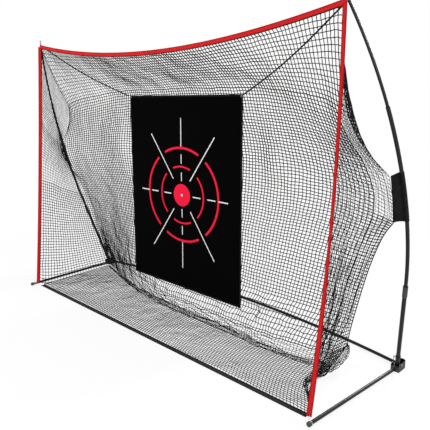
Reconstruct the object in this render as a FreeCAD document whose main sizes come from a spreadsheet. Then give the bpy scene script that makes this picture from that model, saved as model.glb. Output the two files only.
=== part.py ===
import FreeCAD, Part
import math
import os
import Sketcher

# Free-standing golf practice net with a hanging target sheet, in millimetres.
# +X is to the right for a player who faces the net, -Y points at the player, +Z is up.
# The origin is on the floor, in the middle of the whole frame.
# A bowed three-piece rear bar joins two corner shoes. From each shoe a side bar runs
# forward and an upright leans forward over the net, bent inward like a bow.

Vector = FreeCAD.Vector
document = FreeCAD.newDocument("practice_net")
sheet = document.addObject("Spreadsheet::Sheet", "sizes")

DRIVING_SIZES = [
    ("corner_x", 1569, "middle line of the frame to the axis of each upright's foot"),
    ("bar_front_x", 1511, "middle line to the front end of each side bar"),
    ("bar_front_y", -540, "front end of the side bars"),
    ("bar_back_y", 355, "rear end of the side bars, inside the shoes"),
    ("bar_front_z", 14.4, "axis of a side bar at its front end"),
    ("bar_back_z", 16, "axis of a side bar in its shoe, and of the rear bar"),
    ("bar_diameter", 22, "steel tube of the side bars and the rear bar"),
    ("bar_bore", 19.6, "bore of that tube"),
    ("cap_diameter", 28, "end cap of a side bar"),
    ("cap_length", 15, "end cap of a side bar, along the bar"),
    ("cap_plug_length", 25, "spigot of the end cap inside the bar"),
    ("rear_end_y", 374, "axis of the rear bar where it enters a shoe"),
    ("rear_bow", 171, "how far the rear bar bows back between the shoes"),
    ("rear_ferrule_diameter", 19.2, "ferrule inside the rear bar's joints"),
    ("rear_ferrule_bore", 16, "bore of that ferrule"),
    ("rear_ferrule_length", 110, "length of that ferrule"),
    ("rear_seam", 1, "open seam between two sections of the rear bar"),
    ("shoe_width", 54, "corner shoe, across"),
    ("shoe_straight", 83, "corner shoe, length of its straight part"),
    ("shoe_back_y", 405, "rear of the corner shoes"),
    ("shoe_depth", 48, "height of a shoe's walls"),
    ("shoe_plate", 3, "plate of the shoe"),
    ("cutter_overrun", 5, "how far a cutter stands out beyond the body it cuts"),
    ("block_length", 62, "nylon socket block in the shoe"),
    ("block_height", 25.5, "nylon socket block in the shoe"),
    ("block_drill", 200, "cutter for the bore of that block"),
    ("fit_gap", 0.3, "gap between neighbours that don't fit in each other"),
    ("slide_play", 0.1, "radial play of a tube in its socket"),
    ("foot_y", 327, "axis of an upright at its foot"),
    ("foot_z", 30, "height of that point"),
    ("lean_forward", 17.3, "lean of the uprights' plane, degrees"),
    ("splay_out", 8.4, "outward lean of the straight lower tube, degrees"),
    ("foot_socket_start", 5, "from the foot point up to the foot socket"),
    ("foot_socket_length", 78, "foot socket"),
    ("foot_socket_diameter", 29, "foot socket"),
    ("foot_socket_bore", 25.6, "bore of the foot socket"),
    ("foot_lip_diameter", 32, "rolled lip at the top of the foot socket"),
    ("foot_lip_length", 7, "rolled lip at the top of the foot socket"),
    ("bolt_diameter", 8, "bolt across the shoe and the upright's foot"),
    ("bolt_height", 39, "height of that bolt"),
    ("bolt_head", 13, "bolt head and nut, across"),
    ("bolt_head_length", 5, "bolt head and nut, along the bolt"),
    ("lower_tube_diameter", 25.4, "straight lower tube of an upright"),
    ("lower_tube_bore", 21.5, "bore of that tube"),
    ("lower_tube_start", 20, "from the foot point up to the lower tube"),
    ("lower_tube_end", 630, "from the foot point up to the end of the lower tube"),
    ("collar_diameter", 29.4, "sleeve round the top of the lower tube"),
    ("collar_length", 75, "that sleeve"),
    ("pole_diameter", 21.3, "lower section of the bent pole"),
    ("pole_bore", 16.2, "bore of that section"),
    ("pole_spigot", 90, "straight end of the pole inside the lower tube"),
    ("pole_bend_radius", 3000, "bend of the pole under the net's pull"),
    ("pole_seat_gap", 1, "from the lower tube's end to where the bend starts"),
    ("pole_sweep", 20, "turn of the pole's lower section, degrees"),
    ("top_diameter", 16, "top section of the pole"),
    ("top_bore", 11, "bore of that section"),
    ("top_sweep_start", 18.5, "turn at which the top section starts, inside the lower one"),
    ("top_sweep_end", 30.2, "turn at which the top section ends"),
    ("tip_diameter", 13, "metal tip of the pole"),
    ("tip_sweep", 0.9, "turn of the metal tip"),
    ("ring_radius", 9.4, "ring on the shoulder of the pole's tip, to the middle of its wire"),
    ("ring_wire", 4, "wire of that ring"),
    ("pocket_sweep_start", 8.1, "turn of the pole at the lower end of the net's pocket"),
    ("pocket_sweep_end", 13.45, "turn of the pole at the upper end of the net's pocket"),
    ("pocket_reach", 72, "from the pole's axis to the inboard edge of the pocket"),
    ("pocket_flap_turn", 27, "angle that the netting pulls the pocket's flap forward"),
    ("pocket_fabric", 2.4, "two layers of the pocket's cloth"),
    ("webbing_width", 30, "red webbing round the net's mouth"),
    ("webbing_thickness", 3, "that webbing, folded and sewn"),
    ("border_y", -335, "plane of the top webbing"),
    ("border_end_x", 1440, "half length of the top webbing"),
    ("border_end_z", 2095, "height of its ends"),
    ("border_sag", 132, "how far its middle hangs down"),
    ("border_side_top_x", 1468, "top of the side webbing"),
    ("border_side_top_z", 2098, "top of the side webbing"),
    ("border_foot_x", 1478, "foot of the side webbing"),
    ("border_foot_y", -505, "foot of the side webbing"),
    ("border_foot_z", 24, "foot of the side webbing"),
    ("strip_y", -495, "front edge of the black strip on the floor"),
    ("strip_width", 36, "that strip"),
    ("strip_thickness", 3, "that strip"),
    ("strip_half_length", 1450, "that strip"),
    ("net_thickness", 3, "netting"),
    ("net_gap", 4, "from the edge of a net panel to its neighbour's"),
    ("net_strand", 9, "band between two gaps of the netting"),
    ("net_pitch", 106, "from gap to gap of the netting"),
    ("net_least_share", 0.05, "share of a whole gap below which a cut one stays closed"),
    ("net_pass_radius", 8, "gap round the target's cord where it passes the roof netting"),
    ("net_back_y", 15, "plane of the net's back wall"),
    ("net_floor_back_z", 10, "lowest edge of the hanging panels"),
    ("roof_front_x", 1455, "half width of the net's roof at the top webbing"),
    ("roof_front_y", -330, "front edge of the net's roof"),
    ("roof_end_z", 2052, "front edge of the roof at its ends"),
    ("roof_middle_z", 1932, "front edge of the roof at its middle"),
    ("roof_drop", 257, "drop of the roof from the webbing to the back wall"),
    ("side_foot_x", 1470, "front foot of the side netting"),
    ("side_foot_y", -497, "front foot of the side netting"),
    ("floor_front_x", 1458, "half width of the floor netting at its front"),
    ("floor_front_y", -455, "front edge of the floor netting"),
    ("net_shoulder_x", 1300, "half width of the back wall at its top"),
    ("net_pocket_x", 1590, "half width of the back wall at the middle of the pockets"),
    ("net_pocket_z", 1163, "height of the middle of the pockets"),
    ("net_pocket_top", 1288, "height of the pockets' upper ends"),
    ("net_pocket_foot", 1038, "height of the pockets' lower ends"),
    ("net_foot_right_x", 1360, "back wall's right foot"),
    ("net_foot_left_x", 600, "back wall's left foot, where the rear corner panel starts"),
    ("net_rear_left_x", 1497, "rear left corner of the floor netting"),
    ("net_rear_left_y", 285, "rear left corner of the floor netting"),
    ("target_y", -55, "plane of the target sheet"),
    ("target_width", 1190, "target sheet with its binding"),
    ("target_height", 1450, "target sheet with its binding"),
    ("target_top", 1690, "top edge of the target sheet"),
    ("target_sheet_thickness", 2, "target sheet"),
    ("binding_width", 20, "binding sewn round the target sheet"),
    ("binding_thickness", 5, "binding sewn round the target sheet"),
    ("binding_bite", 10, "how deep the sheet sits in its binding"),
    ("grommet_inset", 11, "grommet from the target's edges"),
    ("grommet_diameter", 16, "grommet"),
    ("grommet_bore", 8, "hole of the grommet"),
    ("grommet_thickness", 7, "grommet, through the cloth"),
    ("target_cord_diameter", 9, "cord that carries the target"),
    ("target_cord_sag", 30, "sag of that cord at its middle"),
    ("target_cord_gap", 24, "from the grommet's axis to the cord's end, for its knot"),
    ("shock_cord_diameter", 4, "elastic cord from the upright's foot to the rear bar"),
    ("shock_cord_exit", 62, "from the foot point up to where the shock cord leaves its socket"),
    ("shock_cord_inset", 52, "from a shoe's middle inboard to the shock cord's end on the bar"),
    ("cord_end_gap", 1.2, "from a cord's end to the face it starts at"),
    ("loop_cord_diameter", 2.6, "elastic loop from the net's corner to the side bar"),
    ("loop_gap", 2, "from a side bar's front end back to the elastic loop"),
]


def fill_sheet():
    for row, (alias, value, meaning) in enumerate(DRIVING_SIZES, start=1):
        sheet.set("A%d" % row, meaning)
        sheet.set("B%d" % row, str(value))
        sheet.setAlias("B%d" % row, alias)
    document.recompute()


DERIVED_SIZES = [
    ("rear_radius", "=(corner_x ^ 2 + rear_bow ^ 2) / (2 * rear_bow)", "bend of the rear bar"),
    ("rear_turn", "=2 * asin(corner_x / rear_radius) / 3", "turn of one of its sections"),
    ("rear_seam_turn", "=rear_seam / rear_radius * 180 deg / pi", "turn of a seam"),
    ("rear_ferrule_turn", "=rear_ferrule_length / rear_radius * 180 deg / pi", "turn of a ferrule"),
    ("rim_inset", "=0", "the binding's outer edge is the target's"),
    ("sheet_inset", "=binding_width - binding_bite", "from the target's edge to the sheet's"),
    ("groove_inset", "=sheet_inset - fit_gap", "from the target's edge to the groove's floor"),
    ("groove_thickness", "=target_sheet_thickness + 2 * fit_gap", "groove in the binding"),
    ("window_depth", "=3 * binding_thickness", "cutter for the binding's window"),
    ("flap_start", "=pole_diameter / 2 + pocket_fabric / 2 + fit_gap", "pole's axis to the flap"),
]


def derive_sizes():
    for row, (alias, formula, meaning) in enumerate(DERIVED_SIZES, start=1):
        sheet.set("D%d" % row, meaning)
        sheet.set("E%d" % row, formula)
        sheet.setAlias("E%d" % row, alias)
        document.recompute()


def size(alias):
    value = sheet.get(alias)
    return float(getattr(value, "Value", value))


fill_sheet()
derive_sizes()

SIDES = (("left", -1), ("right", 1))
node_objects = []


def keep(item, label):
    """Names a finished piece and puts it on the list that is written out."""
    item.Label = label
    node_objects.append(item)
    return item


def bind(item, **expressions):
    """Ties an object's properties to the sheet. Bare words are aliases of the sheet."""
    for name, expression in expressions.items():
        item.setExpression(name, expression)
    return item


def cell(alias):
    return "sizes." + alias


def placed(point, x_way=None, z_way=None):
    """A placement with its origin at point, its X and Z axes turned to the given ways."""
    if x_way is None:
        return FreeCAD.Placement(point, FreeCAD.Rotation())
    y_way = z_way.cross(x_way)
    return FreeCAD.Placement(point, FreeCAD.Rotation(x_way, y_way, z_way, "ZXY"))


def base_plane(body, role):
    return [plane for plane in body.Origin.OriginFeatures if plane.Role == role][0]


def ring_sketch(body, name, outer, bore=None, offset=None):
    """Round section on the body's XY plane, with an offset along X from its origin."""
    sketch = body.newObject("Sketcher::SketchObject", name)
    sketch.AttachmentSupport = [(base_plane(body, "XY_Plane"), "")]
    sketch.MapMode = "FlatFace"
    start = Vector(100 if offset else 0, 0, 0)
    for role, expression in (("outer", outer), ("bore", bore)):
        if expression is None:
            continue
        radius = 10 if role == "outer" else 5
        circle = sketch.addGeometry(Part.Circle(start, Vector(0, 0, 1), radius), False)
        across = sketch.addConstraint(Sketcher.Constraint("Diameter", circle, 2 * radius))
        sketch.renameConstraint(across, role)
        sketch.setExpression("Constraints." + role, expression)
        if not offset:
            sketch.addConstraint(Sketcher.Constraint("Coincident", circle, 3, -1, 1))
        elif role == "outer":
            sketch.addConstraint(Sketcher.Constraint("PointOnObject", circle, 3, -1))
            away = sketch.addConstraint(Sketcher.Constraint("DistanceX", -1, 1, circle, 3, 100))
            sketch.renameConstraint(away, "offset")
            sketch.setExpression("Constraints.offset", offset)
        else:
            sketch.addConstraint(Sketcher.Constraint("Coincident", circle, 3, 0, 3))
    return sketch


def straight_tube(label, outer, bore, length, place):
    """Tube along the Z axis of its placement."""
    body = document.addObject("PartDesign::Body", label)
    pad = body.newObject("PartDesign::Pad", label + "_pad")
    pad.Profile = ring_sketch(body, label + "_section", outer, bore)
    bind(pad, Length=length)
    body.Placement = place
    return body


def bent_tube(label, outer, bore, bend, sweep, place, straight=None):
    """Tube along an arc round the Y axis of its placement, from (bend, 0, 0) towards -Z.
    A straight end, where there is one, runs back from its start towards +Z."""
    body = document.addObject("PartDesign::Body", label)
    section = ring_sketch(body, label + "_section", outer, bore, bend)
    turn = body.newObject("PartDesign::Revolution", label + "_bend")
    turn.Profile = section
    turn.ReferenceAxis = (section, ["V_Axis"])
    bind(turn, Angle=sweep)
    if straight:
        pad = body.newObject("PartDesign::Pad", label + "_spigot")
        pad.Profile = ring_sketch(body, label + "_spigot_section", outer, bore, bend)
        bind(pad, Length=straight)
    body.Placement = place
    return body


def block(name, length, width, height, place):
    item = document.addObject("Part::Box", name)
    bind(item, Length=length, Width=width, Height=height)
    item.Placement = place
    return item


def rod(name, radius, height, place):
    item = document.addObject("Part::Cylinder", name)
    bind(item, Radius=radius, Height=height)
    item.Placement = place
    return item


def joined(name, first, second):
    item = document.addObject("Part::Fuse", name)
    item.Base = first
    item.Tool = second
    return item


def less(name, body, tool):
    item = document.addObject("Part::Cut", name)
    item.Base = body
    item.Tool = tool
    return item


def on_side(side, x, y, z):
    """The right side's point, mirrored for the left side."""
    return Vector(side * x, y, z)


UP = Vector(0, 0, 1)


def across(way):
    """A direction square to the given one, as level as it can be."""
    return UP.cross(way).normalize()


# Rear bar: one circle through both shoes and the bowed middle.
rear_radius = size("rear_radius")
rear_centre = Vector(0, size("rear_end_y") + size("rear_bow") - rear_radius, size("bar_back_z"))


def rear_arc(start_turn):
    """Placement of a tube that follows the rear bar's circle. The turn is counted from
    the middle of the bar, positive to the right, and the tube runs to the left."""
    angle = math.radians(start_turn)
    outward = Vector(math.sin(angle), math.cos(angle), 0)
    leftward = Vector(-math.cos(angle), math.sin(angle), 0)
    return placed(rear_centre, outward, leftward * -1)


section_turn = size("rear_turn")
for name, sections in (("right", 1.5), ("middle", 0.5), ("left", -0.5)):
    bar = bent_tube("rear_bar_" + name, cell("bar_diameter"), cell("bar_bore"), cell("rear_radius"),
                    "sizes.rear_turn - sizes.rear_seam_turn",
                    rear_arc(sections * section_turn - size("rear_seam_turn") / 2))
    keep(bar, "rear_bar_" + name)

for name, side in SIDES:
    ferrule = bent_tube("rear_ferrule_" + name, cell("rear_ferrule_diameter"),
                        cell("rear_ferrule_bore"), cell("rear_radius"), cell("rear_ferrule_turn"),
                        rear_arc(side * section_turn / 2 + size("rear_ferrule_turn") / 2))
    keep(ferrule, "rear_ferrule_" + name)


# The line of an upright: its plane leans forward, and in it the lower tube leans outward.
lean = math.radians(size("lean_forward"))
splay = math.radians(size("splay_out"))
plane_up = Vector(0, -math.sin(lean), math.cos(lean))


def foot_point(side):
    return on_side(side, size("corner_x"), size("foot_y"), size("foot_z"))


def tube_way(side):
    """Direction of the straight lower tube."""
    return Vector(side * math.sin(splay), 0, 0) + plane_up * math.cos(splay)


def inward_way(side):
    """Square to the lower tube in the upright's plane, towards the middle of the net."""
    return Vector(-side * math.cos(splay), 0, 0) + plane_up * math.sin(splay)


def along_tube(side, distance):
    return foot_point(side) + tube_way(side) * distance


bend_start = size("lower_tube_end") + size("pole_seat_gap")
bend_radius = size("pole_bend_radius")


def pole_way(side, turn_degrees):
    """Direction of the bent pole at the given turn."""
    turn = math.radians(turn_degrees)
    return tube_way(side) * math.cos(turn) + inward_way(side) * math.sin(turn)


def pole_outward(side, turn_degrees):
    """Away from the centre of the pole's bend at the given turn."""
    turn = math.radians(turn_degrees)
    return inward_way(side) * -math.cos(turn) + tube_way(side) * math.sin(turn)


def pole_centre(side):
    return along_tube(side, bend_start) + inward_way(side) * bend_radius


def pole_arc(side, start_turn):
    """Placement of a tube that follows the pole's bend from the given turn to the tip."""
    upward = pole_way(side, start_turn)
    return placed(pole_centre(side), pole_outward(side, start_turn), upward * -1)


def pole_point(side, turn_degrees):
    """Point on the bent pole's axis."""
    return pole_centre(side) + pole_outward(side, turn_degrees) * bend_radius


# The ring sits on the shoulder where the metal tip leaves the pole.
ring_lift = math.degrees((size("ring_wire") / 2 + size("fit_gap")) / bend_radius)
ring_turn = size("top_sweep_end") + ring_lift


def corner_shoe(name, side):
    """Tray of bent plate, open at the front and the top, with a rounded rear end."""
    half = size("shoe_width") / 2
    front = size("shoe_back_y") - half - size("shoe_straight")
    corner = on_side(side, size("corner_x"), 0, 0)
    plate = size("shoe_plate")
    overrun = size("cutter_overrun")
    outer = joined(
        name + "_outer",
        block(name + "_outer_box", cell("shoe_width"), cell("shoe_straight"), cell("shoe_depth"),
              placed(corner + Vector(-half, front, 0))),
        rod(name + "_outer_round", "sizes.shoe_width / 2", cell("shoe_depth"),
            placed(corner + Vector(0, size("shoe_back_y") - half, 0))))
    inner = joined(
        name + "_inner",
        block(name + "_inner_box", "sizes.shoe_width - 2 * sizes.shoe_plate",
              "sizes.shoe_straight + sizes.cutter_overrun", cell("shoe_depth"),
              placed(corner + Vector(plate - half, front - overrun, plate))),
        rod(name + "_inner_round", "sizes.shoe_width / 2 - sizes.shoe_plate", cell("shoe_depth"),
            placed(corner + Vector(0, size("shoe_back_y") - half, plate))))
    tray = less(name + "_tray", outer, inner)
    inboard = Vector(-side, 0, 0)
    half_turn = math.asin(size("corner_x") / rear_radius)
    bar_way = Vector(-side * math.cos(half_turn), math.sin(half_turn), 0)
    bar_hole = rod(name + "_bar_hole", "sizes.bar_diameter / 2 + sizes.fit_gap", cell("shoe_width"),
                   placed(corner + Vector(0, size("rear_end_y"), size("bar_back_z")),
                          across(bar_way), bar_way))
    bolt_hole = rod(name + "_bolt_hole", "sizes.bolt_diameter / 2 + sizes.slide_play",
                    "2 * sizes.shoe_width",
                    placed(corner + inboard * size("shoe_width")
                           + Vector(0, bolt_y(), size("bolt_height")),
                           Vector(0, 1, 0), inboard * -1))
    return less(name, less(name + "_drilled", tray, bar_hole), bolt_hole)


def bolt_y():
    """Where the upright's axis crosses the height of its bolt."""
    rise = (size("bolt_height") - size("foot_z")) / math.cos(lean)
    return size("foot_y") - rise * math.sin(lean)


def side_bar_ends(side):
    front = on_side(side, size("bar_front_x"), size("bar_front_y"), size("bar_front_z"))
    back = on_side(side, size("corner_x"), size("bar_back_y"), size("bar_back_z"))
    return front, back


def forward_way(side):
    front, back = side_bar_ends(side)
    return (front - back).normalize()


for name, side in SIDES:
    forward = forward_way(side)
    front, back = side_bar_ends(side)
    corner = on_side(side, size("corner_x"), 0, 0)
    keep(corner_shoe("corner_shoe_" + name, side), "corner_shoe_" + name)

    # Nylon block in the shoe, bored for the side bar and open at its front.
    inner_half = size("shoe_width") / 2 - size("shoe_plate") - size("fit_gap")
    shoe_front = size("shoe_back_y") - size("shoe_width") / 2 - size("shoe_straight")
    block_base = size("shoe_plate") + size("fit_gap")
    socket_block = less(
        "socket_block_" + name,
        block("socket_body_" + name, "sizes.shoe_width - 2 * sizes.shoe_plate - 2 * sizes.fit_gap",
              cell("block_length"), cell("block_height"),
              placed(corner + Vector(-inner_half, shoe_front, block_base))),
        rod("socket_bore_" + name, "sizes.bar_diameter / 2 + sizes.slide_play",
            cell("block_drill"),
            placed(back - forward * (size("block_drill") / 2), across(forward), forward)))
    keep(socket_block, "socket_block_" + name)

    length = "%.6f mm" % (front - back).Length
    bar = straight_tube("side_bar_" + name, cell("bar_diameter"), cell("bar_bore"), length,
                        placed(back, across(forward), forward))
    keep(bar, "side_bar_" + name)

    plug_start = front - forward * size("cap_plug_length")
    cap = joined(
        "end_cap_" + name,
        rod("cap_head_" + name, "sizes.cap_diameter / 2", cell("cap_length"),
            placed(front + forward * size("fit_gap"), across(forward), forward)),
        rod("cap_plug_" + name, "sizes.bar_bore / 2 - sizes.slide_play",
            "sizes.cap_plug_length + sizes.cap_length / 2",
            placed(plug_start, across(forward), forward)))
    keep(cap, "end_cap_" + name)

    # Foot socket of the upright, held by the bolt across the shoe.
    way = tube_way(side)
    level = across(way)
    foot_tube = straight_tube("foot_tube_" + name, cell("foot_socket_diameter"),
                              cell("foot_socket_bore"), cell("foot_socket_length"),
                              placed(along_tube(side, size("foot_socket_start")), level, way))
    lip_start = size("foot_socket_start") + size("foot_socket_length") - size("foot_lip_length")
    lip = straight_tube("foot_lip_" + name, cell("foot_lip_diameter"), cell("foot_socket_bore"),
                        cell("foot_lip_length"), placed(along_tube(side, lip_start), level, way))
    bolt_way = Vector(side, 0, 0)
    bolt_middle = corner + Vector(0, bolt_y(), size("bolt_height"))
    foot_bore = rod("foot_bolt_hole_" + name, "sizes.bolt_diameter / 2 + sizes.slide_play",
                    "2 * sizes.shoe_width",
                    placed(bolt_middle - bolt_way * size("shoe_width"), Vector(0, 1, 0), bolt_way))
    socket = less("foot_socket_" + name, joined("foot_shell_" + name, foot_tube, lip), foot_bore)
    keep(socket, "foot_socket_" + name)

    lower = straight_tube("lower_tube_" + name, cell("lower_tube_diameter"), cell("lower_tube_bore"),
                          "sizes.lower_tube_end - sizes.lower_tube_start",
                          placed(along_tube(side, size("lower_tube_start")), level, way))
    keep(lower, "lower_tube_" + name)
    collar = straight_tube("tube_collar_" + name, cell("collar_diameter"),
                           "sizes.lower_tube_diameter + 2 * sizes.slide_play", cell("collar_length"),
                           placed(along_tube(side, size("lower_tube_end") - size("collar_length")),
                                  level, way))
    keep(collar, "tube_collar_" + name)

    # The bent pole: lower section with its straight spigot, top section, metal tip.
    keep(bent_tube("pole_" + name, cell("pole_diameter"), cell("pole_bore"),
                   cell("pole_bend_radius"),
                   "sizes.pole_sweep * 1 deg", pole_arc(side, 0),
                   straight="sizes.pole_spigot + sizes.pole_seat_gap"),
         "pole_" + name)
    keep(bent_tube("pole_top_" + name, cell("top_diameter"), cell("top_bore"),
                   cell("pole_bend_radius"),
                   "(sizes.top_sweep_end - sizes.top_sweep_start) * 1 deg",
                   pole_arc(side, size("top_sweep_start"))),
         "pole_top_" + name)
    keep(bent_tube("pole_tip_" + name, cell("tip_diameter"), None, cell("pole_bend_radius"),
                   "sizes.tip_sweep * 1 deg", pole_arc(side, size("top_sweep_end"))),
         "pole_tip_" + name)

    # Steel ring on the shoulder.
    ring_way = pole_way(side, ring_turn)
    ring = document.addObject("Part::Torus", "tip_ring_" + name)
    bind(ring, Radius1=cell("ring_radius"), Radius2="sizes.ring_wire / 2")
    ring.Placement = placed(pole_point(side, ring_turn), across(ring_way), ring_way)
    keep(ring, "tip_ring_" + name)

    # Cloth pocket of the net: a sleeve round the pole and a flap that reaches inboard.
    pocket_turn = "(sizes.pocket_sweep_end - sizes.pocket_sweep_start) * 1 deg"
    pocket_place = pole_arc(side, size("pocket_sweep_start"))
    sleeve = bent_tube("pocket_sleeve_" + name,
                       "sizes.pole_diameter + 2 * (sizes.pocket_fabric + sizes.fit_gap)",
                       "sizes.pole_diameter + 2 * sizes.fit_gap",
                       cell("pole_bend_radius"), pocket_turn, pocket_place)
    flap_turn = math.radians(size("pocket_flap_turn"))
    flap_way = Vector(-math.cos(flap_turn), side * math.sin(flap_turn), 0)
    half_fabric = Vector(side * math.sin(flap_turn), math.cos(flap_turn), 0) * (
        size("pocket_fabric") / 2)
    flap_start = Vector(bend_radius, 0, 0) + flap_way * size("flap_start")
    flap_end = Vector(bend_radius, 0, 0) + flap_way * size("pocket_reach")
    flap_section = Part.makePolygon([
        flap_end - half_fabric, flap_start - half_fabric, flap_start + half_fabric,
        flap_end + half_fabric, flap_end - half_fabric])
    flap = document.addObject("Part::Feature", "pocket_flap_" + name)
    flap.Shape = Part.Face(flap_section).revolve(
        Vector(0, 0, 0), Vector(0, 1, 0), size("pocket_sweep_end") - size("pocket_sweep_start"))
    flap.Placement = pocket_place
    keep(joined("net_pocket_" + name, sleeve, flap), "net_pocket_" + name)

    # Elastic loop: round the side bar behind its cap, and up to the foot of the webbing.
    loop_centre = front - forward * (size("loop_cord_diameter") / 2 + size("loop_gap"))
    loop_radius = size("bar_diameter") / 2 + size("loop_cord_diameter") / 2 + size("fit_gap")
    loop = document.addObject("Part::Torus", "loop_ring_" + name)
    bind(loop, Radius1="sizes.bar_diameter / 2 + sizes.loop_cord_diameter / 2 + sizes.fit_gap",
         Radius2="sizes.loop_cord_diameter / 2")
    loop.Placement = placed(loop_centre, across(forward), forward)
    webbing_foot = on_side(side, size("border_foot_x"), size("border_foot_y"), size("border_foot_z"))
    sideways = webbing_foot - loop_centre
    sideways = sideways - forward * sideways.dot(forward)
    loop_start = loop_centre + sideways.normalize() * loop_radius
    strand = webbing_foot - loop_start
    strand_length = strand.Length - size("webbing_thickness")
    strand.normalize()
    tail = rod("loop_tail_" + name, "sizes.loop_cord_diameter / 2", "%.6f mm" % strand_length,
               placed(loop_start, across(strand), strand))
    keep(joined("corner_loop_" + name, loop, tail), "corner_loop_" + name)


def side_webbing(name, side):
    """Straight webbing from the ring at the pole's tip down to the floor."""
    top = on_side(side, size("border_side_top_x"), size("border_y"), size("border_side_top_z"))
    foot = on_side(side, size("border_foot_x"), size("border_foot_y"), size("border_foot_z"))
    upward = top - foot
    length = "%.6f mm" % upward.Length
    upward.normalize()
    rightward = Vector(1, 0, 0) - upward * upward.x
    rightward.normalize()
    depthward = upward.cross(rightward)
    corner = (foot - rightward * (size("webbing_width") / 2)
              - depthward * (size("webbing_thickness") / 2))
    return block("border_" + name, cell("webbing_width"), cell("webbing_thickness"), length,
                 placed(corner, rightward, upward))


for name, side in SIDES:
    keep(side_webbing(name, side), "border_" + name)

# Top webbing: part of a ring that hangs between the two tips.
border_radius = (size("border_end_x") ** 2 + size("border_sag") ** 2) / (2 * size("border_sag"))
border_turn = 2 * math.degrees(math.asin(size("border_end_x") / border_radius))
border_middle_z = size("border_end_z") - size("border_sag")
half_width = size("webbing_width") / 2
half_thick = size("webbing_thickness") / 2
webbing_section = Part.makePolygon([
    Vector(border_radius - half_width, 0, -half_thick),
    Vector(border_radius + half_width, 0, -half_thick),
    Vector(border_radius + half_width, 0, half_thick),
    Vector(border_radius - half_width, 0, half_thick),
    Vector(border_radius - half_width, 0, -half_thick)])
border_top = document.addObject("Part::Feature", "border_top")
border_top.Shape = Part.Face(webbing_section).revolve(Vector(0, 0, 0), Vector(0, 0, 1), border_turn)
end_angle = math.radians(border_turn / 2)
border_top.Placement = placed(Vector(0, size("border_y"), border_middle_z + border_radius),
                              Vector(math.sin(end_angle), 0, -math.cos(end_angle)), Vector(0, 1, 0))
keep(border_top, "border_top")

strip = block("front_strip", "2 * sizes.strip_half_length", cell("strip_width"),
              cell("strip_thickness"),
              placed(Vector(-size("strip_half_length"), size("strip_y"), 0)))
keep(strip, "front_strip")


def net_panel(label, corners, level, cord_route=()):
    """Flat netting inside the given corners: one holed face, thickened. The rows of gaps
    run along the given level direction. A cord's route, where there is one, passes it."""
    outline = Part.Face(Part.makePolygon(corners + corners[:1]))
    normal = outline.normalAt(0, 0)
    outline = outline.makeOffset2D(-size("net_gap"), join=2)
    clear = outline.makeOffset2D(-size("net_strand"), join=2)
    along = (level - normal * level.dot(normal)).normalize()
    upward = normal.cross(along)
    pitch = size("net_pitch")
    gap = pitch - size("net_strand")
    spots = [(corner.dot(along), corner.dot(upward)) for corner in corners]
    low_a, high_a = min(spot[0] for spot in spots), max(spot[0] for spot in spots)
    low_b, high_b = min(spot[1] for spot in spots), max(spot[1] for spot in spots)
    lift = corners[0].dot(normal)
    gaps = []
    for column in range(math.ceil((high_a - low_a) / pitch)):
        for row in range(math.ceil((high_b - low_b) / pitch)):
            start = (along * (low_a + size("net_gap") + size("net_strand") + column * pitch)
                     + upward * (low_b + size("net_gap") + size("net_strand") + row * pitch)
                     + normal * lift)
            square = [start, start + along * gap, start + along * gap + upward * gap,
                      start + upward * gap, start]
            opening = Part.Face(Part.makePolygon(square)).common(clear)
            least_area = size("net_least_share") * gap * gap
            gaps.extend(face for face in opening.Faces if face.Area > least_area)
    wires = [outline.OuterWire] + [face.OuterWire for face in gaps]
    netting = Part.makeFace(wires, "Part::FaceMakerBullseye")
    netting.translate(normal * (-size("net_thickness") / 2))
    panel = document.addObject("Part::Feature", label)
    panel.Shape = netting.extrude(normal * size("net_thickness"))
    for start, end in zip(cord_route, cord_route[1:]):
        way = end - start
        panel.Shape = panel.Shape.cut(
            Part.makeCylinder(size("net_pass_radius"), way.Length, start, way))
    print(label, "gaps", len(gaps), "solids", len(panel.Shape.Solids), "faces", len(netting.Faces))
    return keep(panel, label)


level_x = Vector(1, 0, 0)
level_y = Vector(0, 1, 0)
back_y = size("net_back_y")
low_z = size("net_floor_back_z")
roof_middle = Vector(0, size("roof_front_y"), size("roof_middle_z"))
ridge_middle = Vector(0, back_y, size("roof_middle_z") - size("roof_drop"))
shoulder_share = size("net_shoulder_x") / size("roof_front_x")
shoulder_z = ridge_middle.z + shoulder_share * (size("roof_end_z") - size("roof_middle_z"))


def side_net_points(side):
    """Corners of the side netting, the two at the pocket lying in its plane."""
    tip = on_side(side, size("roof_front_x"), size("roof_front_y"), size("roof_end_z"))
    foot = on_side(side, size("side_foot_x"), size("side_foot_y"), low_z)
    pocket = on_side(side, size("net_pocket_x"), back_y, size("net_pocket_z"))
    normal = (foot - tip).cross(pocket - tip)
    ends = []
    for height in (size("net_pocket_top"), size("net_pocket_foot")):
        x = tip.x - (normal.y * (back_y - tip.y) + normal.z * (height - tip.z)) / normal.x
        ends.append(Vector(x, back_y, height))
    return tip, foot, pocket, ends[0], ends[1]


# The target's cords run from the rings to the grommets in the target's upper corners.
half_target = size("target_width") / 2
grommet_spots = [Vector(side * (half_target - size("grommet_inset")), size("target_y"),
                        size("target_top") - size("grommet_inset")) for name, side in SIDES]
SAG_SHARES = (0.25, 0.5, 0.75)


def target_cord_route(index, side):
    """From the ring at the pole's tip to the grommet, nearly straight."""
    ring_spot = pole_point(side, ring_turn)
    way = (grommet_spots[index] - ring_spot).normalize()
    start = ring_spot + way * (size("ring_radius") + size("ring_wire"))
    end = grommet_spots[index] - way * size("target_cord_gap")
    route = [start]
    for share in SAG_SHARES:
        sag = size("target_cord_sag") * 4 * share * (1 - share)
        route.append(start + (end - start) * share - Vector(0, 0, sag))
    route.append(end)
    return route


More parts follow.
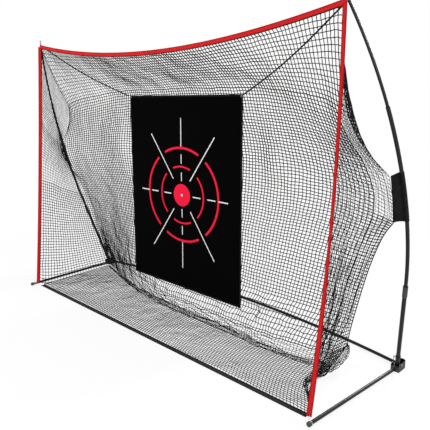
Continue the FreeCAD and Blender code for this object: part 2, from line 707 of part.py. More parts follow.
back_points = {}
for index, (name, side) in enumerate(SIDES):
    tip, foot, pocket, pocket_top, pocket_foot = side_net_points(side)
    shoulder = on_side(side, size("net_shoulder_x"), back_y, shoulder_z)
    if name == "right":
        back_foot = Vector(size("net_foot_right_x"), back_y, low_z)
    else:
        back_foot = Vector(-size("net_rear_left_x"), size("net_rear_left_y"), low_z)
    back_points[name] = (shoulder, pocket_top, pocket, pocket_foot, back_foot)
    net_panel("net_top_" + name, [roof_middle, tip, shoulder, ridge_middle], level_x,
              target_cord_route(index, side))
    net_panel("net_shoulder_" + name, [tip, pocket_top, shoulder], level_y)
    net_panel("net_side_" + name, [tip, foot, pocket_foot, pocket_top], level_y)
    net_panel("net_hip_" + name, [pocket_foot, foot, back_foot], level_y)

left_shoulder, left_pocket_top, left_pocket, left_pocket_foot, rear_left = back_points["left"]
right_shoulder, right_pocket_top, right_pocket, right_pocket_foot, right_foot = back_points["right"]
left_foot = Vector(-size("net_foot_left_x"), back_y, low_z)
net_panel("net_back_upper", [left_shoulder, ridge_middle, right_shoulder, right_pocket_top,
                             right_pocket, left_pocket, left_pocket_top], level_x)
net_panel("net_back_lower", [left_pocket, right_pocket, right_pocket_foot, right_foot, left_foot,
                             left_pocket_foot], level_x)
net_panel("net_back_corner", [left_pocket_foot, left_foot, rear_left], level_x)
floor_height = size("net_thickness") / 2
floor_front = size("floor_front_y")
net_panel("net_floor", [Vector(-size("floor_front_x"), floor_front, floor_height),
                        Vector(size("floor_front_x"), floor_front, floor_height),
                        Vector(right_foot.x, right_foot.y, floor_height),
                        Vector(left_foot.x, left_foot.y, floor_height),
                        Vector(rear_left.x, rear_left.y, floor_height)], level_x)


# Target: a printed sheet in a sewn binding, with a grommet in each upper corner.
def target_block(name, inset, thickness):
    """Upright block in the target's plane, smaller than the target by inset all round."""
    corner = Vector(size(inset) - half_target, size("target_y") - size(thickness) / 2,
                    size("target_top") - size("target_height") + size(inset))
    return block(name, "sizes.target_width - 2 * sizes." + inset, cell(thickness),
                 "sizes.target_height - 2 * sizes." + inset, placed(corner))


def grommet_rod(name, index, radius, length_alias, length_share=1):
    length = size(length_alias) * length_share
    start = grommet_spots[index] - Vector(0, length / 2, 0)
    return rod(name, radius, "%g * sizes.%s" % (length_share, length_alias),
               placed(start, Vector(1, 0, 0), Vector(0, 1, 0)))


def with_grommet_holes(label, body):
    hole_radius = "sizes.grommet_diameter / 2 + sizes.fit_gap"
    first = less(label + "_left_hole", body,
                 grommet_rod(label + "_left_drill", 0, hole_radius, "grommet_thickness", 3))
    return less(label, first,
                grommet_rod(label + "_right_drill", 1, hole_radius, "grommet_thickness", 3))


keep(with_grommet_holes("target_sheet",
                        target_block("target_cloth", "sheet_inset", "target_sheet_thickness")),
     "target_sheet")

binding_outer = target_block("binding_outer", "rim_inset", "binding_thickness")
binding_window = target_block("binding_window", "binding_width", "window_depth")
binding_groove = target_block("binding_groove", "groove_inset", "groove_thickness")
binding_frame = less("binding_frame", binding_outer, binding_window)
binding_folded = less("binding_folded", binding_frame, binding_groove)
keep(with_grommet_holes("target_binding", binding_folded), "target_binding")

grommets = []
for index, (name, side) in enumerate(SIDES):
    grommets.append(less("grommet_" + name,
                         grommet_rod("grommet_body_" + name, index, "sizes.grommet_diameter / 2",
                                     "grommet_thickness"),
                         grommet_rod("grommet_drill_" + name, index, "sizes.grommet_bore / 2",
                                     "grommet_thickness", 3)))
grommet_pair = document.addObject("Part::Compound", "target_grommets")
grommet_pair.Links = grommets
keep(grommet_pair, "target_grommets")


def shoe_bolt(name, side):
    """Bolt across a shoe and the upright's foot, with its head outside and its nut inside."""
    outward = Vector(side, 0, 0)
    middle = on_side(side, size("corner_x"), bolt_y(), size("bolt_height"))
    rim = size("shoe_width") / 2 + size("fit_gap") / 2
    level = Vector(0, 1, 0)
    shaft_start = middle - outward * (size("shoe_width") / 2 + size("bolt_head_length"))
    shaft = rod("bolt_shaft_" + name, "sizes.bolt_diameter / 2",
                "sizes.shoe_width + 2 * sizes.bolt_head_length",
                placed(shaft_start, level, outward))
    head = document.addObject("Part::Prism", "bolt_head_" + name)
    nut = document.addObject("Part::Prism", "bolt_nut_" + name)
    for hexagon, start in ((head, middle + outward * rim),
                           (nut, middle - outward * (rim + size("bolt_head_length")))):
        hexagon.Polygon = 6
        bind(hexagon, Circumradius="sizes.bolt_head / sqrt(3)", Height=cell("bolt_head_length"))
        hexagon.Placement = placed(start, level, outward)
    return joined("shoe_bolt_" + name, joined("bolt_and_head_" + name, shaft, head), nut)


bolt_pair = document.addObject("Part::Compound", "shoe_bolts")
bolt_pair.Links = [shoe_bolt(name, side) for name, side in SIDES]
keep(bolt_pair, "shoe_bolts")


# Share of a run that the arc at its end may take.
ARC_SHARE = 0.45

# Bends of the right side's shock cord, as ways outward, back and up: two counted from
# where it leaves the foot socket, two from the top of the rear bar under its end.
SHOCK_START_BENDS = [(-14, 6, 1), (-27, 26, -9)]
SHOCK_END_BENDS = [(9, -16, 31), (0, 0, 17)]


def cord_wire(points):
    """Straight runs joined by tangent arcs, each as large as its two runs allow."""
    edges = []
    radii = []
    start = points[0]
    for before, corner, after in zip(points, points[1:], points[2:]):
        reach = ARC_SHARE * min((corner - before).Length, (after - corner).Length)
        incoming = (corner - before).normalize()
        outgoing = (after - corner).normalize()
        half_turn = incoming.getAngle(outgoing) / 2
        radius = reach / math.tan(half_turn)
        arc_start = corner - incoming * reach
        arc_end = corner + outgoing * reach
        inside = (outgoing - incoming).normalize()
        arc_middle = corner + inside * (radius / math.cos(half_turn) - radius)
        edges.append(Part.LineSegment(start, arc_start).toShape())
        edges.append(Part.Arc(arc_start, arc_middle, arc_end).toShape())
        radii.append(radius)
        start = arc_end
    edges.append(Part.LineSegment(start, points[-1]).toShape())
    return Part.Wire(edges), radii


def cord(label, points, diameter):
    """Round cord along a route."""
    path, radii = cord_wire(points)
    section = Part.Wire([Part.makeCircle(diameter / 2, points[0], points[1] - points[0])])
    item = document.addObject("Part::Feature", label)
    item.Shape = path.makePipeShell([section], True, False)
    expected = math.pi * diameter ** 2 / 4 * path.Length
    print(label, "length %.0f" % path.Length, "radii", [round(radius) for radius in radii],
          "volume share %.3f" % (item.Shape.Volume / expected))
    return keep(item, label)


for index, (name, side) in enumerate(SIDES):
    cord("target_cord_" + name, target_cord_route(index, side), size("target_cord_diameter"))

    # Elastic shock cord: out of the foot socket, over and down to the rear bar.
    bar_x = size("corner_x") - size("shock_cord_inset")
    bar_y = rear_centre.y + math.sqrt(rear_radius ** 2 - bar_x ** 2)
    bar_top = on_side(side, bar_x, bar_y, size("bar_back_z") + size("bar_diameter") / 2)
    exit_reach = size("foot_socket_diameter") / 2 + size("cord_end_gap")
    socket_exit = along_tube(side, size("shock_cord_exit")) + inward_way(side) * exit_reach
    shock_route = [socket_exit]
    shock_route += [socket_exit + on_side(side, *bend) for bend in SHOCK_START_BENDS]
    shock_route += [bar_top + on_side(side, *bend) for bend in SHOCK_END_BENDS]
    shock_route.append(bar_top + Vector(0, 0, size("cord_end_gap")))
    cord("shock_cord_" + name, shock_route, size("shock_cord_diameter"))


document.recompute()
for item in document.Objects:
    if "Invalid" in item.State or "Error" in item.State:
        raise RuntimeError("%s did not rebuild: %s" % (item.Label, item.State))
for item in node_objects:
    if item.Shape.isNull() or not item.Shape.isValid():
        raise RuntimeError("%s has no valid solid" % item.Label)

os.makedirs("parts", exist_ok=True)
whole = FreeCAD.BoundBox()
for item in node_objects:
    box = item.Shape.BoundBox
    whole.add(box)
    item.Shape.exportStep(os.path.join("parts", item.Label + ".step"))
    print("%-22s solids %d volume %9.0f x %6.0f %6.0f y %5.0f %5.0f z %5.0f %5.0f" % (
        item.Label, len(item.Shape.Solids), item.Shape.Volume,
        box.XMin, box.XMax, box.YMin, box.YMax, box.ZMin, box.ZMax))
print(len(node_objects), "pieces, whole box",
      "x %.1f %.1f y %.1f %.1f z %.1f %.1f" % (whole.XMin, whole.XMax, whole.YMin, whole.YMax,
                                            whole.ZMin, whole.ZMax))
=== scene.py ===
# %% [markdown]
# # A golf practice net
# A free-standing net: two bowed poles lean over a red-edged mouth, the netting hangs back
# from it, and a printed target hangs on two cords in front of the back wall. The packed
# CAD model fixes every place and size, and this script gives it its looks. The folds come
# from noise, and the noise gets a seed, so that every run gives the same net.

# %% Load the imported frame
import math
import bmesh
import bpy
import numpy as np
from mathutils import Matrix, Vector, noise


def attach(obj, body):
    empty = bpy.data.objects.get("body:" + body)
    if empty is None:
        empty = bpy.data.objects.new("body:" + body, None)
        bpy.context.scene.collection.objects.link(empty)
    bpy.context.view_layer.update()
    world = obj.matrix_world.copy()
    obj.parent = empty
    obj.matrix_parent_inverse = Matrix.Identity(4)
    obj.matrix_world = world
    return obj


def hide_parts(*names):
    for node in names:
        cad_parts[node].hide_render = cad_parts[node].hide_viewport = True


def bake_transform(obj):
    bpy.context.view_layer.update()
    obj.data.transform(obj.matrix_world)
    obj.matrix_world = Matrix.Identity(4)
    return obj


NOISE_SEED = 12
noise.seed_set(NOISE_SEED)
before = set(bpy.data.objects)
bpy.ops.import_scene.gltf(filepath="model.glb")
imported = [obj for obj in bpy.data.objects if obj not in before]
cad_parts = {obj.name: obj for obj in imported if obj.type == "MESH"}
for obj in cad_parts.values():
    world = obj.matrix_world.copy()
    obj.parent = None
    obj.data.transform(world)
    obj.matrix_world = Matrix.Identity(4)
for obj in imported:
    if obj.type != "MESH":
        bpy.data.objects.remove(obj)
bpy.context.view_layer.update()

# %% [markdown]
# The photograph looks down a little from the front right, at about the height of an eye.
# Its place and lens were fitted to the frame's corners once, so they are plain numbers.

# %% Camera
CAMERA_PLACE = (2.838, -2.600, 1.645)
CAMERA_TURN = 0.775
CAMERA_DIP = 0.215
FOCAL_PIXELS = 519.5
PHOTO_WIDTH = 430
SENSOR_MM = 36.0

camera_data = bpy.data.cameras.new("camera")
camera_data.sensor_width = SENSOR_MM
camera_data.lens = FOCAL_PIXELS * SENSOR_MM / PHOTO_WIDTH
camera = bpy.data.objects.new("camera", camera_data)
camera.location = CAMERA_PLACE
camera.rotation_euler = (math.pi / 2 - CAMERA_DIP, 0, CAMERA_TURN)
bpy.context.collection.objects.link(camera)
bpy.context.scene.camera = camera
bpy.context.scene.view_settings.view_transform = "Standard"
print("lens", round(camera_data.lens, 2), "mm")

# %% [markdown]
# Small helpers come next. A piece is a mesh with its place in its points, so its object
# stays at the origin, and some pieces are attached to the body they ride on.

# %% Helpers for pieces
ROOT = "frame"
SIDES = (("left", -1), ("right", 1))
STRETCH_START = Vector((1.5, 0, 0))
STRETCH_END = Vector((1.94, 0, 0.22))


def add_piece(name, mesh, material, smooth=True):
    """Puts a mesh in the scene as one piece with one material."""
    piece = bpy.data.objects.new(name, mesh)
    bpy.context.collection.objects.link(piece)
    mesh.materials.clear()
    mesh.materials.append(material)
    mesh.polygons.foreach_set("use_smooth", [smooth] * len(mesh.polygons))
    return piece


def thicken(piece, thickness):
    """Gives a sheet its thickness, half to each side."""
    solidify = piece.modifiers.new("thickness", "SOLIDIFY")
    solidify.thickness = thickness
    solidify.offset = 0


def finish_bmesh(name, shape, outward=True):
    """Turns a bmesh into a mesh, with its faces pointing outwards."""
    if outward:
        bmesh.ops.recalc_face_normals(shape, faces=shape.faces)
    mesh = bpy.data.meshes.new(name)
    shape.to_mesh(mesh)
    shape.free()
    return mesh


def lay_chart(shape, rows, columns):
    """Gives a grid its UV map: u goes along the rows, v across the columns."""
    chart = shape.loops.layers.uv.new("UVMap")
    shape.verts.index_update()
    for face in shape.faces:
        for loop in face.loops:
            row, column = divmod(loop.vert.index, columns + 1)
            loop[chart].uv = (row / rows, column / columns)


def mirrored(point, side):
    return Vector((side * point[0], point[1], point[2]))


def stretch_with_pole(piece, name):
    """Bakes the piece's place into its points; the stretch's ends are mirrored, but not used."""
    side = dict(SIDES)[name]
    mirrored(STRETCH_START, side)
    mirrored(STRETCH_END, side)
    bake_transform(piece)


# %% [markdown]
# A cord follows a smooth NURBS line through its route. The line is read back from Blender
# as a curve with no thickness, and the same curve with a round section gives the tube.

# %% Helpers for cords
def route_curve(name, route, radius=0.0, resolution=12, section=4, kind="NURBS"):
    curve = bpy.data.curves.new(name, "CURVE")
    curve.dimensions = "3D"
    curve.resolution_u = resolution
    curve.bevel_depth = radius
    curve.bevel_resolution = section
    curve.use_fill_caps = radius > 0
    spline = curve.splines.new(kind)
    spline.points.add(len(route) - 1)
    for point, place in zip(spline.points, route):
        point.co = (*place, 1)
    if kind == "NURBS":
        spline.order_u = 3
        spline.use_endpoint_u = True
    return curve


def curve_mesh(curve):
    """The mesh that Blender makes from a curve; the curve itself isn't kept."""
    holder = bpy.data.objects.new(curve.name, curve)
    bpy.context.collection.objects.link(holder)
    bpy.context.view_layer.update()
    mesh = bpy.data.meshes.new_from_object(holder)
    bpy.data.objects.remove(holder)
    bpy.data.curves.remove(curve)
    return mesh


def smooth_line(route):
    mesh = curve_mesh(route_curve("line", route))
    line = [vertex.co.copy() for vertex in mesh.vertices]
    bpy.data.meshes.remove(mesh)
    return line


def line_length(line):
    return sum((b - a).length for a, b in zip(line, line[1:]))


# %% [markdown]
# The materials are sums of a few masks, and sums read best as Python. A small class wraps
# the output of a node, so that + and * on it add the Math nodes that are needed.

# %% A socket that can be added and multiplied
class Flow:
    def __init__(self, finish, socket):
        self.finish = finish
        self.socket = socket

    def maths(self, operation, *others):
        return self.finish.node("ShaderNodeMath", {"operation": operation}, [self, *others])

    def __add__(self, other):
        return self.maths("ADD", other)

    __radd__ = __add__

    def __mul__(self, other):
        return self.maths("MULTIPLY", other)

    __rmul__ = __mul__

    def __sub__(self, other):
        return self.maths("SUBTRACT", other)

    def __rsub__(self, other):
        return self.finish.node("ShaderNodeMath", {"operation": "SUBTRACT"}, [other, self])

    def __truediv__(self, other):
        return self.maths("DIVIDE", other)

    def __lt__(self, other):
        return self.maths("LESS_THAN", other)

    def __gt__(self, other):
        return self.maths("GREATER_THAN", other)

    def __abs__(self):
        return self.maths("ABSOLUTE")


# %% [markdown]
# One method makes every node: it takes the node's type, its settings, and the values or
# links of its sockets. The others are the few patterns that this net's finishes share.

# %% A finish under construction
class Finish:
    """A material, or the world, whose nodes are being added."""

    def __init__(self, name, owner=None):
        self.material = owner or bpy.data.materials.new(name)
        self.material.use_nodes = True
        self.tree = self.material.node_tree
        self.tree.nodes.clear()

    def node(self, kind, settings=None, inputs=(), output=0):
        made = self.tree.nodes.new(kind)
        for key, value in (settings or {}).items():
            setattr(made, key, value)
        pairs = inputs.items() if isinstance(inputs, dict) else enumerate(inputs)
        for key, value in pairs:
            self.join(made.inputs[key], value)
        return Flow(self, made.outputs[output]) if len(made.outputs) else made

    def join(self, target, value):
        if isinstance(value, Flow):
            self.tree.links.new(value.socket, target)
        elif target.type == "RGBA" and len(value) == 3:
            target.default_value = (*value, 1)
        else:
            target.default_value = value

    def place(self):
        return self.node("ShaderNodeTexCoord", output="Object")

    def parts(self, vector):
        split = self.node("ShaderNodeSeparateXYZ", inputs=[vector])
        return [Flow(self, socket) for socket in split.socket.node.outputs]

    def cloth_parts(self):
        """The two directions of the piece's own UV map."""
        return self.parts(self.node("ShaderNodeUVMap"))[:2]

    def seen_by(self, *kinds):
        """1 for a ray of any of these kinds, and 0 for others."""
        path = self.node("ShaderNodeLightPath").socket.node
        first, *others = [Flow(self, path.outputs["Is " + kind + " Ray"]) for kind in kinds]
        for other in others:
            first = first.maths("MAXIMUM", other)
        return first

    def cloud(self, scale, detail=3.0, stretch=(1, 1, 1), rough=0.5):
        mapped = self.node("ShaderNodeMapping", inputs={"Vector": self.place(), "Scale": stretch})
        return self.node("ShaderNodeTexNoise", inputs={
            "Vector": mapped, "Scale": scale, "Detail": detail, "Roughness": rough})

    def mix(self, share, first, second):
        return self.node("ShaderNodeMix", {"data_type": "RGBA"}, {
            0: share, 6: first, 7: second}, output=2)

    def fit(self, value, low, high, new_low=0.0, new_high=1.0):
        return self.node("ShaderNodeMapRange", inputs=[value, low, high, new_low, new_high])

    def bump(self, height, distance, strength=1.0):
        return self.node("ShaderNodeBump", inputs={
            "Height": height, "Distance": distance, "Strength": strength})

    def surface(self, **sockets):
        names = {name.replace("_", " ").title().replace("Ior", "IOR"): value
                 for name, value in sockets.items()}
        shader = self.node("ShaderNodeBsdfPrincipled", inputs=names)
        self.node("ShaderNodeOutputMaterial", inputs=[shader])
        return self.material


print("maths on sockets is ready")

# %% [markdown]
# ## The steel and the poles
# The tubes have a satin black powder coat: nearly black, with a broad soft highlight along
# the tube, a fine orange-peel skin, and slightly greyer rubbed places.

# %% Coated steel
def coated_steel(name, shade, shine, rub=0.35):
    finish = Finish(name)
    rubbed = finish.fit(finish.cloud(7.0, 6.0), 0.56, 0.74, 0.0, rub)
    speck = finish.cloud(240.0, 2.0)
    dark = (shade * 0.7, shade * 0.7, shade * 0.72)
    pale = (shade * 2.0, shade * 2.0, shade * 2.05)
    base = finish.mix(rubbed + (speck - 0.5) * 0.2, dark, pale)
    roughness = shine + rubbed * 0.15 + (speck - 0.5) * 0.08
    peel = finish.bump(finish.cloud(900.0, 2.0), 0.0004, 0.25)
    return finish.surface(base_color=base, roughness=roughness, normal=peel,
                          specular_ior_level=0.28)


black_steel = coated_steel("black_steel_coat", 0.006, 0.30)
shoe_steel = coated_steel("shoe_steel_coat", 0.005, 0.42, 0.5)
pole_black = coated_steel("pole_coat", 0.007, 0.28)
print("coats:", black_steel.name, shoe_steel.name, pole_black.name)


# %% [markdown]
# Bare steel shows at the poles' tips, the rings and the bolts. Its fine scratches run
# round the tube, so the noise is stretched flat along Z.

# %% Bare steel and nylon
def bare_steel(name, shade, rough):
    finish = Finish(name)
    scratch = finish.cloud(160.0, 4.0, (1, 1, 9))
    tarnish = finish.fit(finish.cloud(30.0, 4.0), 0.4, 0.8)
    clean = (shade, shade, shade * 1.02)
    dull = (shade * 0.6, shade * 0.58, shade * 0.55)
    base = finish.mix(tarnish, clean, dull)
    return finish.surface(base_color=base, metallic=1.0, roughness=rough + scratch * 0.2,
                          normal=finish.bump(scratch, 0.0003, 0.3))


def black_nylon_finish(name, shade):
    finish = Finish(name)
    grain = finish.cloud(420.0, 3.0)
    bloom = finish.cloud(22.0, 3.0)
    base = finish.mix(bloom, (shade, shade, shade), (shade * 1.9, shade * 1.9, shade * 1.95))
    return finish.surface(base_color=base, roughness=0.5 + grain * 0.2,
                          normal=finish.bump(grain, 0.0004, 0.4))


bright_steel = bare_steel("bare_bright_steel", 0.62, 0.22)
ring_steel = bare_steel("dull_ring_steel", 0.40, 0.35)
bolt_steel = bare_steel("darkened_bolt_steel", 0.22, 0.35)
black_nylon = black_nylon_finish("moulded_black_nylon", 0.018)
print("bare:", bright_steel.name, ring_steel.name, bolt_steel.name, black_nylon.name)

# %% [markdown]
# The tubes, shoes, sockets and caps have the right shape already, so they stay, and only
# get their finishes. A name that ends in an underscore stands for a left and a right node.

# %% Finishes of the rigid nodes
RIGID_FINISHES = {
    black_steel: ["rear_bar_middle", "rear_bar_", "side_bar_", "lower_tube_", "foot_socket_"],
    shoe_steel: ["corner_shoe_"],
    pole_black: ["pole_", "pole_top_"],
    bright_steel: ["pole_tip_", "rear_ferrule_"],
    ring_steel: ["tip_ring_"],
    bolt_steel: ["shoe_bolts"],
    black_nylon: ["socket_block_", "end_cap_", "tube_collar_"],
}

dressed = 0
for finish_material, stems in RIGID_FINISHES.items():
    for stem in stems:
        names = [stem] if not stem.endswith("_") else [stem + name for name, side in SIDES]
        for node in names:
            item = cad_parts[node]
            item.data.materials.clear()
            item.data.materials.append(finish_material)
            dressed += 1
print("rigid nodes dressed:", dressed)

# %% [markdown]
# ## Cords
# A braided black cord runs from the ring at each pole's tip to the grommet in the target's
# upper corner. It is pulled almost straight, and sags a little under its own weight. Its
# braid is two crossing helices on the tube's own UV map, with painted shade in the grooves.

# %% Braided cord finish
def braided(name, dark, pale, turns, strands, rough=0.75):
    """turns are the braid's repeats along the whole cord, strands those round it."""
    finish = Finish(name)
    along, around = finish.cloth_parts()
    one_way = (along * turns + around * strands).maths("PINGPONG", 0.5)
    other_way = (along * turns - around * strands).maths("PINGPONG", 0.5)
    ribs = one_way.maths("MAXIMUM", other_way)
    fuzz = finish.cloud(500.0, 3.0)
    # The colour follows the ribs, so the grooves between the strands get painted shade.
    base = finish.mix(ribs * 1.6 - 0.1 + (fuzz - 0.5) * 0.3, dark, pale)
    return finish.surface(base_color=base, roughness=rough, specular_ior_level=0.15,
                          normal=finish.bump(ribs, 0.0015, 0.7))


target_cord_finish = braided("braided_black_cord", (0.0015, 0.0015, 0.0015), (0.009, 0.009, 0.009),
                             170, 2)
shock_cord_finish = braided("braided_black_elastic", (0.01, 0.01, 0.011), (0.06, 0.06, 0.062),
                            34, 2)
white_elastic = braided("braided_white_elastic", (0.55, 0.55, 0.53), (0.9, 0.9, 0.88), 40, 2)
print("braids are ready")

# %% Target cords
TARGET_CORD_ROUTE = [(1.46631, -0.31743, 2.10453), (1.25095, -0.25337, 1.97817),
                     (1.03559, -0.18932, 1.8668), (0.82024, -0.12527, 1.77044),
                     (0.60488, -0.06121, 1.68907)]
TARGET_CORD_RADIUS = 0.0045

for name, side in SIDES:
    route = [mirrored(point, side) for point in TARGET_CORD_ROUTE]
    line = smooth_line(route)
    tube = curve_mesh(route_curve("tube", route, TARGET_CORD_RADIUS, 24))
    rope = add_piece("braided_cord_" + name, tube, target_cord_finish)
    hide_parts("target_cord_" + name)
    stretch_with_pole(rope, name)
    print(rope.name, "is", round(line_length(line), 3), "m long")

# %% [markdown]
# The shock cords are short elastic ends that leave the uprights' foot sockets and hook
# over the rear bar. They keep the poles and the bars together when the net is packed.

# %% Shock cords
SHOCK_ROUTE = [(1.56253, 0.30808, 0.09075), (1.54853, 0.31408, 0.09175),
               (1.53553, 0.33408, 0.08175), (1.526, 0.36927, 0.058),
               (1.517, 0.38527, 0.044), (1.517, 0.38527, 0.0282)]
SHOCK_RADIUS = 0.002

for name, side in SIDES:
    route = [mirrored(point, side) for point in SHOCK_ROUTE]
    line = smooth_line(route)
    tube = curve_mesh(route_curve("tube", route, SHOCK_RADIUS, 16))
    elastic = add_piece("elastic_cord_" + name, tube, shock_cord_finish)
    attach(elastic, ROOT)
    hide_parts("shock_cord_" + name)
    print(elastic.name, "is", round(line_length(line), 3), "m long")

# %% [markdown]
# ## Webbing
# Red webbing is folded over the net's edge and sewn. Its raised middle has a painted
# highlight, its two folded edges painted shade, and a row of stitches runs along each side.
# Each strap is a grid bent along a line, with its own UV map from one end to the other.

# %% Webbing finish
RIB_PITCH = 0.0016
YARN_PITCH = 0.0011
STITCH_PITCH = 0.006


def webbing(name, edge, middle, thread, length, width):
    """Ribs run across the strap, and a row of stitches lies 4 mm from each edge."""
    finish = Finish(name)
    along, across = finish.cloth_parts()
    weave = ((along * (length / RIB_PITCH * math.tau)).maths("SINE")
             * (across * (width / YARN_PITCH * math.tau)).maths("SINE"))
    from_middle = abs(across - 0.5) * 2
    # band is the raised middle; in the colour it paints a highlight down the middle and shade on
    # the folded edges.
    band = finish.fit(from_middle, 0.52, 0.62, 1.0, 0.0)
    dust = finish.cloud(18.0, 5.0)
    seam = abs(from_middle - 0.74) < 0.035
    dash = (along * (length / STITCH_PITCH)).maths("FRACT")
    stitch = seam * (dash < 0.62)
    base = finish.mix(band * 0.85 + (dust - 0.5) * 0.3, edge, middle)
    base = finish.mix(finish.fit(weave, -1.0, 1.0, 0.0, 0.16), base, (0.0, 0.0, 0.0))
    base = finish.mix(stitch * 0.8, base, thread)
    height = weave * 0.5 + stitch * 0.8 + band * 0.6
    return finish.surface(base_color=base, roughness=0.8 + (dust - 0.5) * 0.2,
                          specular_ior_level=0.1, normal=finish.bump(height, 0.0008, 0.6))


# The edge colours are painted shade on the folded edges, and the middle colours a painted
# highlight.
RED_SHADED_EDGE = (0.34, 0.006, 0.006)
RED_LIT_MIDDLE = (0.62, 0.012, 0.012)
RED_THREAD = (0.30, 0.005, 0.005)
COAL_SHADED_EDGE = (0.010, 0.010, 0.011)
COAL_LIT_MIDDLE = (0.032, 0.032, 0.035)
COAL_THREAD = (0.008, 0.008, 0.009)


# %% Straps
WEBBING_WIDTH = 0.030
WEBBING_THICKNESS = 0.0026
STRAP_COLUMNS = 10


def strap(name, line, ways, width, thickness, material, crown=0.0008):
    """A strap along a line; each of the ways points from its first edge to its second."""
    shape = bmesh.new()
    columns = STRAP_COLUMNS
    rows = len(line) - 1
    grid = bmesh.ops.create_grid(shape, x_segments=columns, y_segments=rows, size=1)
    for index, vertex in enumerate(grid["verts"]):
        row, column = divmod(index, columns + 1)
        share = column / columns - 0.5
        run = line[min(row + 1, rows)] - line[max(row - 1, 0)]
        side_way = (ways[row] - run * (ways[row].dot(run) / run.dot(run))).normalized()
        out_way = side_way.cross(run).normalized()
        bulge = crown * math.cos(share * math.pi)
        vertex.co = line[row] + side_way * (share * width) + out_way * bulge
    lay_chart(shape, rows, columns)
    piece = add_piece(name, finish_bmesh(name, shape, outward=False), material)
    thicken(piece, thickness)
    return piece


def even_line(start, end, count):
    start, end = Vector(start), Vector(end)
    return [start.lerp(end, step / count) for step in range(count + 1)]


def red_strap(name, line, ways):
    """A strap of the mouth's red webbing, and its length."""
    length = line_length(line)
    finish = webbing(name + "_webbing", RED_SHADED_EDGE, RED_LIT_MIDDLE, RED_THREAD, length, WEBBING_WIDTH)
    piece = strap(name, line, ways, WEBBING_WIDTH, WEBBING_THICKNESS, finish)
    return piece, length


# %% [markdown]
# The two side straps aren't quite straight: the netting pulls them back and out by about
# 2 cm at the middle. It also twists them, so that they show their face at the foot and
# turn almost edge-on to the front higher up.

# %% Side borders
BORDER_Y = -0.335
BORDER_FOOT = Vector((1.478, -0.505, 0.024))
BORDER_TOP = Vector((1.468, BORDER_Y, 2.098))
BORDER_BOW = Vector((0.020, 0.020, 0))
TWIST_HEIGHTS = (0.0, 0.12, 0.45, 1.0)
TWISTS = {"left": (60, 62, 60, 55), "right": (24, 2, -33, -17)}


def border_point(share):
    """A point of the right border's middle line, from its foot at 0 to its top at 1."""
    return BORDER_FOOT.lerp(BORDER_TOP, share) + BORDER_BOW * (4 * share * (1 - share))


for name, side in SIDES:
    shares = [step / 100 for step in range(101)]
    line = [mirrored(border_point(share), side) for share in shares]
    twists = [math.radians(angle) for angle in np.interp(shares, TWIST_HEIGHTS, TWISTS[name])]
    ways = [Vector((math.cos(angle), math.sin(angle), 0)) for angle in twists]
    border, length = red_strap("red_border_" + name, line, ways)
    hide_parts("border_" + name)
    stretch_with_pole(border, name)
    print(border.name, round(length, 3), "m long")

# %% [markdown]
# The top webbing hangs in a shallow arc between the poles' tips. It is one strap on the
# real net, and two halves here, one for each side.

# %% Top border in two halves
BORDER_RADIUS = 7.92055
BORDER_HANG = 1.963
BORDER_HALF = 1.474


def border_height(x, drop=0.0):
    """Height of the top webbing's middle line, or of a line that hangs below it."""
    return BORDER_HANG + BORDER_RADIUS - math.sqrt((BORDER_RADIUS + drop) ** 2 - x * x)


for name, side in SIDES:
    xs = [side * BORDER_HALF * step / 60 for step in range(61)]
    line = [Vector((x, BORDER_Y + 0.003, border_height(x))) for x in xs]
    border, length = red_strap("red_border_top_" + name, line, [Vector((0, 0, 1))] * len(line))
    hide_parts("border_top")
    stretch_with_pole(border, name)
    print(border.name, round(length, 3), "m long")

# %% [markdown]
# The strip on the floor is a flat tape in charcoal, with the same ribs and stitches.

# %% Front strip
STRIP_WIDTH = 0.036
STRIP_LENGTH = 2.9
STRIP_THICKNESS = 0.0016
STRIP_PLACE = (-0.477, 0.0022)
strip_line = even_line((-STRIP_LENGTH / 2, *STRIP_PLACE), (STRIP_LENGTH / 2, *STRIP_PLACE), 120)
coal = webbing("charcoal_webbing", COAL_SHADED_EDGE, COAL_LIT_MIDDLE, COAL_THREAD, STRIP_LENGTH, STRIP_WIDTH)
strip = strap("charcoal_front_strip", strip_line, [Vector((0, 1, 0))] * len(strip_line),
              STRIP_WIDTH, STRIP_THICKNESS, coal, crown=0.0006)
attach(strip, ROOT)
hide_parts("front_strip")
print("front strip is on the floor")

# %% [markdown]
# ## The netting
# The netting is one soft bag: a roof, a back wall and a floor, with a side on each hand.
# It is pinned along the red borders, the front strip and the two pockets, and hangs free
# between them. Each part starts as a patch stretched between its four edges, and is then
# relaxed, so that every knot lies in the middle of its neighbours as in pulled netting.

# %% Lines that hold the netting
TIP = (1.456, -0.330, 2.080)
SHOULDER = (1.352, -0.060, 1.585)
SEAM_ROOF = [TIP, (1.43, -0.28, 1.96), (1.39, -0.20, 1.82), (1.360, -0.12, 1.69), SHOULDER]
POCKET_TOP = (1.629, -0.097, 1.276)
POCKET_FOOT = (1.645, -0.016, 1.030)
SEAM_DOWN = [SHOULDER, (1.378, -0.035, 1.500), (1.453, -0.040, 1.401), (1.550, -0.065, 1.323),
             POCKET_TOP, POCKET_TOP, POCKET_TOP, (1.638, -0.058, 1.160), POCKET_FOOT,
             POCKET_FOOT, POCKET_FOOT]
